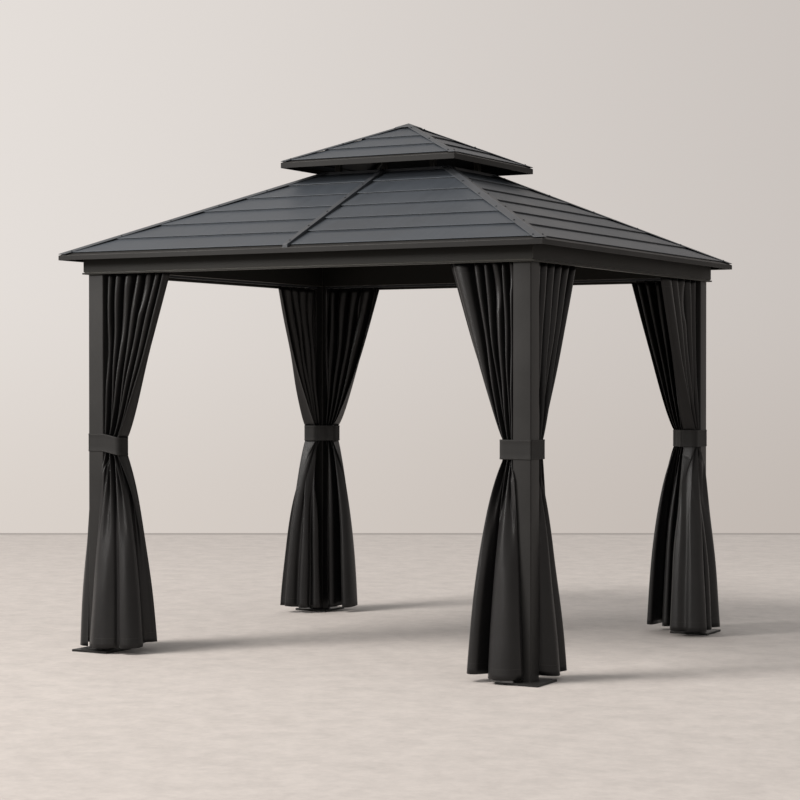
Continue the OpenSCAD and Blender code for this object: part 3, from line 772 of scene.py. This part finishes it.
def pleated(share, marks, cusp):
    """Points [u, v] of a pleated cross-section at shares of the cloth's width. A positive cusp makes the
    ridges broad and the valleys sharp, and a negative one the other way round."""
    k = np.clip(np.searchsorted(marks[:, 0], share, side="right") - 1, 0, len(marks) - 2)
    w = (share - marks[k, 0]) / (marks[k + 1, 0] - marks[k, 0])
    step = marks[k + 1, 1:] - marks[k, 1:]
    out = marks[k, 1:] + step * (0.5 - 0.5 * np.cos(np.pi * w))[:, None]
    run = w + STEEP * np.sin(2 * np.pi * w) + np.sign(step[:, 1]) * cusp / np.pi * np.sin(np.pi * w)
    out[:, 0] = marks[k, 1] + step[:, 0] * run
    return out


def smooth_curve(share, points):
    """Points at shares of the way along a Catmull-Rom curve through the given ones."""
    p = np.array(points, float)
    p = np.vstack([2 * p[0] - p[1], p, 2 * p[-1] - p[-2]])
    t = np.linspace(0, 1, 12, endpoint=False)[:, None]
    dense = np.vstack([
        b + 0.5 * ((c - a) * t + (2 * a - 5 * b + 4 * c - d) * t**2 + (3 * b - a - 3 * c + d) * t**3)
        for a, b, c, d in zip(p, p[1:], p[2:], p[3:])
    ] + [p[-2:-1]])
    along = lengths_along(dense[:, :2])
    return np.column_stack([np.interp(share * along[-1], along, column) for column in dense.T])


def pleat_marks(valleys, reach):
    """The u and v of the turns at the rail, from the post's side to the leading edge: ridges lie outwards
    and valleys inwards."""
    inner = np.array([0.0, *valleys, 1.0]) * reach
    ridges = (inner[1:] + inner[:-1]) / 2
    u = np.empty(2 * len(inner) - 1)
    u[0::2], u[1::2] = inner, ridges
    v = np.full(len(u), (POST_W + PLEAT_DEPTH) / 2)
    v[1::2] = (POST_W - PLEAT_DEPTH) / 2
    v[0], v[-1] = POST_W / 2, POST_W * 0.6
    return u, v


def hang_cloth(name, rng, s):
    """The points of a curtain in its post's corner, as rows from the heading down to the hem."""
    extra, power, swing = GATHER[name]
    u_rail, v_rail = pleat_marks(PLEATS[name], REACH[name.split("_")[0]] + extra)
    turns = len(u_rail)
    arcs = np.hypot(np.diff(u_rail), np.diff(v_rail))
    share_at = np.concatenate([[0], np.cumsum(arcs)]) / arcs.sum()
    ridge = np.arange(turns) % 2 == 1
    # Inside the tie, every other ridge is sunk behind its neighbours
    sunk = (np.arange(turns) % 4 == 3) * rng.uniform(14, 30, turns) * MM
    v_tie = np.where(ridge, 6 * MM + sunk, POST_W - 7 * MM - rng.uniform(0, 18, turns) * MM)
    v_tie[0] = 12 * MM
    share = np.unique(np.concatenate([
        np.linspace(share_at[i], share_at[i + 1], COLUMNS_EACH + 1) for i in range(turns - 1)
    ]))
    hem = smooth_curve(share, HEMS[name]) * MM
    bunch = BUNCH + LOOSE.get(name, 0)
    # Three of the curtains at the back have broad valleys, and the others have broad ridges
    cusp = -0.5 if "back" in name and name != "right_back" else 0.5
    bow = rng.uniform(-1, 1, turns)
    deep = rng.uniform(0.72, 1.14, turns)
    phase = rng.uniform(0, 2 * np.pi, (4, turns))
    # The leading edge hangs straight, and the right side's curtains sway little
    calm = (1 - np.linspace(0, 1, turns) ** 5) * (0.35 if name.startswith("right") else 1)
    top, mid = RAIL_Z - s.drop, POST_W / 2

    def folded(rise, z):
        """The folded section at a share of the way up from the tie, at height z."""
        spread = rise**power
        even = mix(np.linspace(0, 1, turns), u_rail / u_rail[-1], rise**0.45)
        room = mix(bunch - 6 * MM, u_rail[-1], spread)
        u = CLEAR + (room - CLEAR) * even
        sway = np.sin(2 * np.pi * z / SWAY_PITCH + phase[0]) * SWAY + bow * np.sin(np.pi * rise) * BOW
        u[1:-1] += (room / (turns - 1) * (calm * sway) * np.sin(np.pi * min(1, rise * 1.4) / 2))[1:-1]
        u = np.maximum.accumulate(np.maximum(u, CLEAR))
        v = mix(v_tie, mid + (v_rail - mid) * mix(deep, 1, rise**4), smooth(rise * 1.7))
        v += calm * (v - mid) * BREATH * np.sin(2 * np.pi * z / BREATH_PITCH + phase[1]) * smooth(rise * 3)
        return pleated(share, np.column_stack([share_at, u, v]), cusp)

    valley = pleated(share, np.column_stack([share_at, u_rail, ~ridge]), 0)[:, 1]
    rows, heights = [], []
    for i in range(ROWS[0]):
        rise = (1 - i / ROWS[0]) ** CROWDED
        z = mix(TIE_Z[1], top, rise)
        points = folded(rise, z)
        for number, dent, low, high in PINCHED[name]:
            at = share_at[2 * number + 1]
            half = share_at[2 * number + 2] - at
            strength = math.sin(math.pi * min(1, max(0, (z - low) / (high - low)))) ** 0.8
            points[:, 1] += dent * strength * np.exp(-(((share - at) / half / PINCH_WIDTH) ** 2))
        rows.append(points)
        heights.append(z - HEADING_DIP * valley * rise**8)
    for i in range(ROWS[1]):
        z = mix(TIE_Z[1], TIE_Z[0], i / ROWS[1])
        rows.append(folded(0, z))
        heights.append(np.full(len(share), z))
    tied = folded(0, TIE_Z[0])
    for i in range(ROWS[2] + 1):
        fall = (i / ROWS[2]) ** CROWDED
        spread = (1 + swing) * fall / (fall + swing)
        fade = max(0, 1 - fall / FADE_FALL) ** 2
        u = mix(tied[:, 0], hem[:, 0], spread)
        flare = smooth(fall / FLARE_FALL) * mix(FLARED.get(name, 0.0), 1, fall**0.8)
        u += np.minimum(hem[:, 0], 0) * (flare - spread)
        v = (tied[:, 1] - mid) * fade + mix(mid, hem[:, 1], spread)
        # Where the hem wraps past the post's side, the cloth comes out in front of the post first
        v = mix(v, np.minimum(v, -9 * MM), smooth((8 * MM - hem[:, 0]) / 0.03) * smooth(fall / FLARE_FALL))
        ripple = np.sin(2 * np.pi * (share * 3.3 + fall * 1.3) + phase[2, 0]) * np.sin(np.pi * fall)
        rows.append(np.column_stack([u, v + RIPPLE * ripple]))
        heights.append(mix(TIE_Z[0], hem[:, 2], fall))
    u, v = np.moveaxis(np.stack(rows), 2, 0)
    z = np.stack(heights)
    # The cloth stays clear of the post, and of the other curtain across the corner's diagonal
    inside = (u < CLEAR) & (v > -2 * CLEAR)
    nearer_side = inside & (CLEAR - u < v + 2 * CLEAR)
    u = np.where(nearer_side, CLEAR, u)
    v = np.where(inside & ~nearer_side, -2 * CLEAR, v)
    v = np.minimum(v, POST_W + u - CLEAR)
    slipped = np.clip(u / bunch, 0, 1) * np.exp(-(((z - sum(TIE_Z) / 2) / 0.25) ** 2))
    return share, u, v, z - SAG.get(name, 0) * slipped


def corner_place(name, u, v):
    """World x and y of a curtain's u and v, and whether its outer side comes out mirrored."""
    first, second = name.split("_")
    if first in ("front", "back"):
        sx, sy = (-1 if second == "left" else 1), (-1 if first == "front" else 1)
        x, y = sx * (HALF[0] - POST_W - u), sy * (HALF[1] - v)
        return x, y, sx * sy > 0
    sx, sy = (-1 if first == "left" else 1), (-1 if second == "front" else 1)
    x, y = sx * (HALF[0] - v), sy * (HALF[1] - POST_W - u)
    return x, y, sx * sy < 0


def cloth_sheet(name, share, x, y, z, turned, width):
    """A single-sided cloth mesh with a UV map in metres."""
    n_rows, n_cols = x.shape
    points = np.stack([x, y, z], axis=-1).reshape(-1, 3)
    down = np.concatenate([[0], np.cumsum(np.abs(np.diff(z.mean(axis=1))))])
    faces, corners = [], []
    for r in range(n_rows - 1):
        for c in range(n_cols - 1):
            quad = [(r, c), (r + 1, c), (r + 1, c + 1), (r, c + 1)]
            if turned:
                quad.reverse()
            faces.append([i * n_cols + j for i, j in quad])
            corners.extend(quad)
    obj = mesh_object(name, points, faces)
    layer = obj.data.uv_layers.new(name="cloth")
    uv = np.array([(share[j] * width, -down[i]) for i, j in corners], np.float32)
    layer.data.foreach_set("uv", uv.ravel())
    obj.data.shade_smooth()
    return obj


def path_object(name, paths):
    """Loose edges along each row of points."""
    points, edges = [], []
    for path in paths:
        start = len(points)
        points.extend(path)
        edges.extend((start + i, start + i + 1) for i in range(len(path) - 1))
    return mesh_object(name, points, [], edges)


class GAZEBO_OT_hang_curtains(bpy.types.Operator):
    """Hangs the eight gathered curtains, with their hems, stitches and gliders"""

    bl_idname = "gazebo.hang_curtains"
    bl_label = "Hang Curtains"

    def execute(self, context):
        s = context.scene.gazebo_curtains
        cloth = woven_polyester("woven_polyester_black", s.cloth, 1.6, 0.06, 0.36)
        thread = sewing_thread("polyester_thread", s.thread)
        acetal = moulded_acetal("moulded_acetal_black", s.glider)
        stitches, gliders = stitches_tree(), gliders_tree()
        hooks, hook_facing = [], []
        for number, name in enumerate(sorted(HEMS)):
            rng = np.random.default_rng(s.seed + number)
            share, u, v, z = hang_cloth(name, rng, s)
            x, y, turned = corner_place(name, u, v)
            obj = cloth_sheet(f"curtain_{name}_cloth", share, x, y, z, turned, s.width)
            obj.data.materials.append(cloth)
            normals = np.empty(len(obj.data.vertices) * 3)
            obj.data.vertices.foreach_get("normal", normals)
            normals = normals.reshape(x.shape + (3,))
            points = np.stack([x, y, z], axis=-1)
            adjust(obj.modifiers.new("thickness", "SOLIDIFY"), {"thickness": s.thickness, "offset": 0})
            finish_mesh(obj)
            ride(obj)
            # Stitch rows: one over the hem, two under the heading and one along the leading edge
            proud = normals * (s.thickness / 2 + 0.1 * MM)
            rows = [int(np.argmin(np.abs(z[:, 0] - h))) for h in
                    (z[-1, 0] + s.hem, z[0, 0] - 0.010, z[0, 0] - 0.050)]
            lines = [points[r] + proud[r] for r in rows]
            lines += [points[r] - proud[r] for r in rows]
            side = int(np.argmin(np.abs(share - (1 - 0.022 / s.width))))
            lines += [points[:, side] + proud[:, side], points[:, side] - proud[:, side]]
            sewn = path_object(f"curtain_{name}_stitches", lines)
            run_tree(sewn, stitches, {"Pitch": 7 * MM, "Stitch Length": 4.6 * MM, "Thread Radius": 0.35 * MM,
                                      "Seed": number, "Material": thread})
            ride(sewn)
            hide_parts(f"curtain_{name}")
            for turn in range(1, 2 * len(PLEATS[name]) + 2, 2):
                column = turn * COLUMNS_EACH
                along = points[0, min(column + 4, len(share) - 1)] - points[0, max(column - 4, 0)]
                middle = rail_point(name, u[0, column])
                hooks.append((middle[0], middle[1], RAIL_Z + 0.5 * MM))
                hook_facing.append((along[0], along[1], 0))
        carried = points_object("curtain_gliders", hooks, hook_facing)
        run_tree(carried, gliders, {"Stem Radius": 2.2 * MM, "Stem Length": 9 * MM, "Eye Radius": 3.5 * MM,
                                    "Material": acetal})
        ride(carried)
        return {"FINISHED"}


def rail_point(name, u):
    """World x and y on the rail's middle line."""
    x, y, _ = corner_place(name, np.array(u), np.array(POST_W / 2))
    return float(x), float(y)


# ---- Ties ----

TURN_STEPS = 10  # steps in each turn of the band
BAND_STEP = 8 * MM  # the longest step along it
HEMMED = 1.2  # the hems' thickness against the band's


def band_path(overlap, loose):
    """The band's path round a post and its bunches, in the post's corner, with the outward direction at
    each point. It starts and ends on the inner side, where its ends overlap."""
    r, near = 30 * MM, 6 * MM  # radii of its turns round the bunches and round the post's corner
    far = POST_W + BUNCH - r
    centres = [(near, near, near), (far + loose, r, r), (far + loose, POST_W - r, r), (POST_W - r, far, r),
               (r, far, r)]
    path, out = [], []
    count = len(centres)
    for i, (cx, cy, cr) in enumerate(centres):
        px, py, _ = centres[i - 1]
        nx, ny, _ = centres[(i + 1) % count]
        a0 = math.atan2(cy - py, cx - px) - math.pi / 2
        a1 = math.atan2(ny - cy, nx - cx) - math.pi / 2
        while a1 < a0:
            a1 += 2 * math.pi
        for k in range(TURN_STEPS + 1):
            a = mix(a0, a1, k / TURN_STEPS)
            path.append((cx + (cr + 0.5 * MM) * math.cos(a), cy + (cr + 0.5 * MM) * math.sin(a)))
            out.append((math.cos(a), math.sin(a)))
    # Start in the middle of the inner slanted side, between the third and fourth centres
    start = 3 * (TURN_STEPS + 1)
    path, out = path[start:] + path[:start], out[start:] + out[:start]
    mid = ((path[0][0] + path[-1][0]) / 2, (path[0][1] + path[-1][1]) / 2)
    path, out = [mid] + path + [mid], [out[0]] + out + [out[0]]
    tail = Vector((path[1][0] - mid[0], path[1][1] - mid[1])).normalized() * overlap
    path.append((mid[0] + tail.x, mid[1] + tail.y))
    out.append(out[-1])
    fine, fine_out = [], []
    for i in range(len(path) - 1):
        steps = max(1, int(math.dist(path[i], path[i + 1]) / BAND_STEP))
        for k in range(steps):
            t = k / steps
            fine.append([mix(path[i][j], path[i + 1][j], t) for j in (0, 1)])
            fine_out.append(Vector([mix(out[i][j], out[i + 1][j], t) for j in (0, 1)]).normalized())
    fine.append(path[-1])
    fine_out.append(Vector(out[-1]))
    return np.array(fine), np.array(fine_out)


def band_profile(height, thickness):
    """Closed cross-section of the sewn band: [height, distance from the inner face], thicker at its hems."""
    edge = HEMMED * thickness
    half = height / 2
    outer = [(-half, edge * 0.5), (-half + 0.4 * MM, edge * 0.86), (-half + 1.4 * MM, edge),
             (-half + 9 * MM, edge), (-half + 11 * MM, thickness), (-half + 30 * MM, thickness),
             (0, thickness * 1.02)]
    outer += [(-h, d) for h, d in reversed(outer[:-1])]
    inner = [(half - 0.4 * MM, edge * 0.14), (half - 1.4 * MM, 0.0), (0, 0.0), (-half + 1.4 * MM, 0.0),
             (-half + 0.4 * MM, edge * 0.14)]
    return np.array(outer + inner)


class GAZEBO_OT_wrap_ties(bpy.types.Operator):
    """Wraps a sewn band round each post and its two curtains"""

    bl_idname = "gazebo.wrap_ties"
    bl_label = "Wrap Ties"

    def execute(self, context):
        s = context.scene.gazebo_ties
        canvas = woven_polyester("canvas_band_charcoal", s.cloth, 1.2, 0.05, 0.75)
        thread = sewing_thread("polyester_thread_band", context.scene.gazebo_curtains.thread)
        stitches = bpy.data.node_groups["stitches_along_paths"]
        height = TIE_Z[1] - TIE_Z[0]
        profile = band_profile(height - 1 * MM, s.thickness)
        for number, (corner, (sx, sy)) in enumerate(CORNERS.items()):
            loose = LOOSE.get(corner, 0)
            path, out = band_path(s.overlap, loose)
            along = lengths_along(path)
            lapped = smooth((along - (along[-1] - s.overlap * 1.35)) / (s.overlap * 0.35))
            over = lapped * (s.thickness + 0.4 * MM)
            rng = np.random.default_rng(20 + number)
            wave = rng.uniform(0, 2 * np.pi, 3)
            slack = 0.5 * MM * np.sin(along / 0.031 + wave[0]) * np.sin(along / 0.083 + wave[1]) ** 2
            slipped = SAG.get(corner, 0) * np.clip((path[:, 0] - POST_W) / (BUNCH + loose), 0, 1)

            def line_at(h, d):
                """The line round the band at a height and a distance from its inner face."""
                away = over + np.maximum(0, slack) * (1 - abs(h) / height) + d
                x, y = (path + out * away[:, None]).T
                z = sum(TIE_Z) / 2 + h + 0.3 * MM * np.sin(along / 0.11 + wave[2]) - slipped
                return np.column_stack([sx * (HALF[0] - x), sy * (HALF[1] - y), z])

            points = np.stack([line_at(h, d) for h, d in profile], axis=1)
            n, m = points.shape[:2]
            faces, corners = [], []
            for i in range(n - 1):
                for j in range(m):
                    quad = [(i, j), (i, (j + 1) % m), (i + 1, (j + 1) % m), (i + 1, j)]
                    faces.append([a * m + b for a, b in quad])
                    corners.extend((a, j if b == j else j + 1) for a, b in quad)
            faces.append(list(range(m)))
            faces.append([(n - 1) * m + j for j in reversed(range(m))])
            around = lengths_along(np.vstack([profile, profile[:1]]))
            obj = mesh_object(f"tie_{corner}_band", points.reshape(-1, 3), faces)
            uv = [(along[a], around[b]) for a, b in corners] + [(0, 0)] * (2 * m)
            layer = obj.data.uv_layers.new(name="cloth")
            layer.data.foreach_set("uv", np.array(uv, np.float32).ravel())
            edit_mesh(obj.data, lambda bm: bmesh.ops.recalc_face_normals(bm, faces=bm.faces))
            obj.data.shade_smooth()
            obj.data.set_sharp_from_angle(angle=math.radians(50))
            obj.data.materials.append(canvas)
            ride(obj)
            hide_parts(f"tie_{corner}")
            reach = height / 2 - s.stitch_inset
            lines = [line_at(h, s.thickness * HEMMED + 0.1 * MM) for h in (-reach, reach)]
            ends = [lines[0][-3] + (lines[1][-3] - lines[0][-3]) * t for t in (0, 0.5, 1)]
            sewn = path_object(f"tie_{corner}_stitches", lines + [ends])
            run_tree(sewn, stitches, {"Pitch": 5 * MM, "Stitch Length": 3.6 * MM, "Thread Radius": 0.4 * MM,
                                      "Seed": 40 + number, "Material": thread})
            ride(sewn)
        return {"FINISHED"}


# ---- Fasteners ----

HIP_INSET, CAP_HIP_INSET = 0.036, 0.024  # from the hip's line to the screws on its wings
RIB_INSET = 0.05  # from a rib's ends to its first and last screws
SKY = 4.0  # a height above the apex


def tree_of(*names):
    """A search tree over painted pieces."""
    points, faces = [], []
    for name in names:
        mesh = bpy.data.objects[f"{name}_painted"].data
        start = len(points)
        points.extend(v.co.copy() for v in mesh.vertices)
        faces.extend([start + i for i in p.vertices] for p in mesh.polygons)
    return BVHTree.FromPolygons(points, faces)


def hip_places(outer, inner, inset, pitch, start, stop):
    """Plan points along both wings of the four hips."""
    places = []
    run = math.hypot(outer[0] - inner[0], outer[1] - inner[1])
    count = max(2, int(run / pitch))
    for k in range(count):
        t = mix(start, stop, k / (count - 1))
        hx, hy = mix(outer[0], inner[0], t), mix(outer[1], inner[1], t)
        for dx, dy in ((inset, 0), (0, inset)):
            places += [(sx * (hx - dx), sy * (hy - dy)) for sx in (-1, 1) for sy in (-1, 1)]
    return places


class GAZEBO_OT_fit_fasteners(bpy.types.Operator):
    """Sets screws along the hips and ribs, and weld beads at the posts' feet"""

    bl_idname = "gazebo.fit_fasteners"
    bl_label = "Fit Fasteners"

    def execute(self, context):
        s = context.scene.gazebo_fasteners
        painted = powder_coat("painted_screw_steel", s.screw, 1.0, 0.36)
        screws = screws_tree()
        sets = {
            "roof_screws": (("hip_caps", "roof_ribs"),
                            hip_places(EAVE, VENT, HIP_INSET, s.pitch, 0.03, 0.955)
                            + [(0, side * mix(EAVE[1] - RIB_INSET, VENT[1] + RIB_INSET, k / 5))
                               for side in (-1, 1) for k in range(6)]),
            "cap_screws": (("cap_hip_caps",),
                           hip_places(CAP_EAVE, (0, 0), CAP_HIP_INSET, s.pitch, 0.05, 0.86)),
        }
        for name, (nodes, places) in sets.items():
            surface = tree_of(*nodes)
            points, facings = [], []
            for x, y in places:
                hit, normal, _, _ = surface.ray_cast(Vector((x, y, SKY)), Vector((0, 0, -1)))
                if hit is None:
                    raise RuntimeError(f"{name}: no metal under ({x:.3f}, {y:.3f})")
                points.append(hit)
                facings.append(normal)
            obj = points_object(name, points, facings)
            run_tree(obj, screws, {"Head Width": s.head, "Seed": s.seed, "Material": painted})
            ride(obj)
        foot_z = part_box("post_front_left")[0].z
        if abs(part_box("base_plates")[1].z - foot_z) > MM:
            raise RuntimeError("the posts don't stand on their base plates")
        r = 6 * MM  # the posts' corner radius
        rounds = ((r, r, 180), (POST_W - r, r, 270), (POST_W - r, POST_W - r, 0), (r, POST_W - r, 90))
        loops = []
        for sx, sy in CORNERS.values():
            loop = []
            for cx, cy, a0 in rounds:
                for k in range(7):
                    a = math.radians(a0 + 15 * k)
                    loop.append((sx * (HALF[0] - cx - (r + 0.5 * MM) * math.cos(a)),
                                 sy * (HALF[1] - cy - (r + 0.5 * MM) * math.sin(a)), foot_z + 0.5 * MM))
            loops.append(loop + loop[:1])
        welds = path_object("foot_welds", loops)
        run_tree(welds, weld_tree(), {"Bead Radius": s.bead, "Ripple Pitch": 5 * MM,
                                      "Material": bpy.data.materials["powder_coat_charcoal"]})
        welds.data.shade_smooth()
        ride(welds)
        return {"FINISHED"}


# ---- Stage ----

FLOOR_SIDE, FLOOR_NEAR, FLOOR_CELLS = 40, 45, 24  # its reach to each side and nearwards, and its cells a side


def hang_light(name, kind, place, aim, settings):
    """A light at a place, turned to its aim."""
    obj = bpy.data.objects.new(name, adjust(bpy.data.lights.new(name, kind), settings))
    bpy.context.scene.collection.objects.link(obj)
    obj.matrix_world = Matrix.Translation(place) @ (place - aim).to_track_quat("Z", "Y").to_matrix().to_4x4()


class GAZEBO_OT_set_stage(bpy.types.Operator):
    """Lays the floor, lights the surroundings and places the camera"""

    bl_idname = "gazebo.set_stage"
    bl_label = "Set Stage"

    def execute(self, context):
        s = context.scene.gazebo_stage
        scene = context.scene
        # The floor ends in a straight line behind the object, where the surroundings take over
        back, front = ([AHEAD * far + RIGHT * side for side in (-FLOOR_SIDE, FLOOR_SIDE)]
                       for far in (FLOOR_END, -FLOOR_NEAR))
        n = FLOOR_CELLS
        grid = [mix(mix(back[0], back[1], i / n), mix(front[0], front[1], i / n), j / n)
                for j in range(n + 1) for i in range(n + 1)]
        rows = [range(j * (n + 1), (j + 1) * (n + 1)) for j in range(n + 1)]
        faces = [(this[i], after[i], after[i + 1], this[i + 1])
                 for this, after in zip(rows, rows[1:]) for i in range(n)]
        floor = mesh_object("floor", grid, faces)
        floor.data.materials.append(trowelled_floor("trowelled_floor_warm_grey", s.floor))

        hang_light("key_light", "AREA", LIGHTWARD * 22, Vector(), {
            "shape": "DISK", "size": 9.4, "energy": s.key, "color": (1.0, 0.965, 0.93),
            "use_shadow": s.shadows,
        })
        # A soft spot from lower down grazes the upper half, and leaves the ground alone
        hang_light("spot_light", "SPOT", Vector((-7.0, -9.6, 5.4)), Vector((0.0, -1.0, 2.15)), {
            "spot_size": math.radians(27), "spot_blend": 1.0, "shadow_soft_size": 1.5, "energy": s.spot,
            "color": (1.0, 0.97, 0.94), "use_shadow": s.shadows,
        })

        world = bpy.data.worlds.new("studio")
        scene.world = world
        world.use_nodes = True
        tree = world.node_tree
        tree.nodes.clear()
        # The wall behind is pale on the light's side, and a little darker near the floor, a painted shade
        # where it meets the floor
        heading = put(tree, "ShaderNodeTexCoord").outputs["Generated"]
        across = put(tree, "ShaderNodeVectorMath", {"operation": "DOT_PRODUCT"},
                     {0: heading, 1: tuple(RIGHT)})
        shade = put(tree, "ShaderNodeMapRange", {"interpolation_type": "SMOOTHSTEP"},
                    {"Value": across, "From Min": -0.34, "From Max": 0.34})
        wall = put(tree, "ShaderNodeMix", {"data_type": "RGBA"},
                   {"Factor": shade, "A": rgba(s.wall_left), "B": rgba(s.wall_right)})
        height = put(tree, "ShaderNodeSeparateXYZ", inputs={"Vector": heading})
        low = put(tree, "ShaderNodeMapRange", {"interpolation_type": "SMOOTHSTEP"},
                  {"Value": height.outputs["Z"], "From Min": -0.09, "From Max": 0.06})
        # Painted shade low on the wall, towards the floor
        low_wall_shade = put(tree, "ShaderNodeMix", {"data_type": "RGBA"},
                       {"Factor": low, "A": rgba(linear("#f3f0ed")), "B": (1, 1, 1, 1)})
        tinted = put(tree, "ShaderNodeMix", {"data_type": "RGBA", "blend_type": "MULTIPLY"},
                     {"Factor": 1.0, "A": wall, "B": low_wall_shade})
        # The light's side of the room is bright and the other side is dim
        facing = put(tree, "ShaderNodeVectorMath", {"operation": "DOT_PRODUCT"},
                     {0: heading, 1: tuple(LIGHTWARD)})
        side = put(tree, "ShaderNodeMapRange", {"interpolation_type": "SMOOTHSTEP"},
                   {"Value": facing, "From Min": -0.8, "From Max": 0.9})
        room_light = put(tree, "ShaderNodeMath", {"operation": "MULTIPLY_ADD"}, {0: side, 1: 1.0, 2: 0.3})
        # Camera, transmission and glossy rays see the wall, and the others only get its light
        seen = put(tree, "ShaderNodeLightPath").outputs
        clear = put(tree, "ShaderNodeMath", {"operation": "MAXIMUM"},
                    {0: seen["Is Camera Ray"], 1: seen["Is Transmission Ray"]})
        shown = put(tree, "ShaderNodeMath", {"operation": "MAXIMUM"}, {0: clear, 1: seen["Is Glossy Ray"]})
        dim = put(tree, "ShaderNodeMath", {"operation": "MULTIPLY"}, {0: room_light, 1: s.ambient})
        air = put(tree, "ShaderNodeBackground", inputs={"Color": (1, 1, 1, 1), "Strength": dim})
        room = put(tree, "ShaderNodeBackground", inputs={"Color": tinted, "Strength": 1.0})
        both = put(tree, "ShaderNodeMixShader",
                   inputs={0: shown, 1: air, 2: room})
        put(tree, "ShaderNodeOutputWorld", inputs={"Surface": both})

        lens = adjust(bpy.data.cameras.new("camera"), {"lens": LENS, "sensor_width": SENSOR, "clip_end": 200})
        camera = bpy.data.objects.new("camera", lens)
        scene.collection.objects.link(camera)
        camera.location = CAMERA_AT
        camera.rotation_euler = (math.pi / 2 - CAMERA_DIP, 0, TURN)
        scene.camera = camera
        scene.view_settings.view_transform = "Standard"
        return {"FINISHED"}


# ---- Panel and registration ----

STEPS = ("set_stage", "paint_frame", "hang_curtains", "wrap_ties", "fit_fasteners")


class GAZEBO_PT_panel(bpy.types.Panel):
    """Lists the steps and their settings"""

    bl_label = "Gazebo"
    bl_idname = "GAZEBO_PT_panel"
    bl_space_type = "VIEW_3D"
    bl_region_type = "UI"
    bl_category = "Gazebo"

    def draw(self, context):
        for step, group in zip(STEPS, GROUPS):
            box = self.layout.box()
            box.operator(f"gazebo.{step}")
            settings = getattr(context.scene, group)
            for name in settings.__annotations__:
                box.prop(settings, name)


GROUPS = {
    "gazebo_stage": StageSettings,
    "gazebo_paint": PaintSettings,
    "gazebo_curtains": CurtainSettings,
    "gazebo_ties": TieSettings,
    "gazebo_fasteners": FastenerSettings,
}
CLASSES = (
    *GROUPS.values(),
    GAZEBO_OT_set_stage,
    GAZEBO_OT_paint_frame,
    GAZEBO_OT_hang_curtains,
    GAZEBO_OT_wrap_ties,
    GAZEBO_OT_fit_fasteners,
    GAZEBO_PT_panel,
)


def register():
    for cls in CLASSES:
        bpy.utils.register_class(cls)
    for name, group in GROUPS.items():
        setattr(bpy.types.Scene, name, PointerProperty(type=group))


def unregister():
    for name in GROUPS:
        delattr(bpy.types.Scene, name)
    for cls in reversed(CLASSES):
        bpy.utils.unregister_class(cls)


def main():
    register()
    for step in STEPS:
        getattr(bpy.ops.gazebo, step)()


if __name__ == "__main__":
    main()
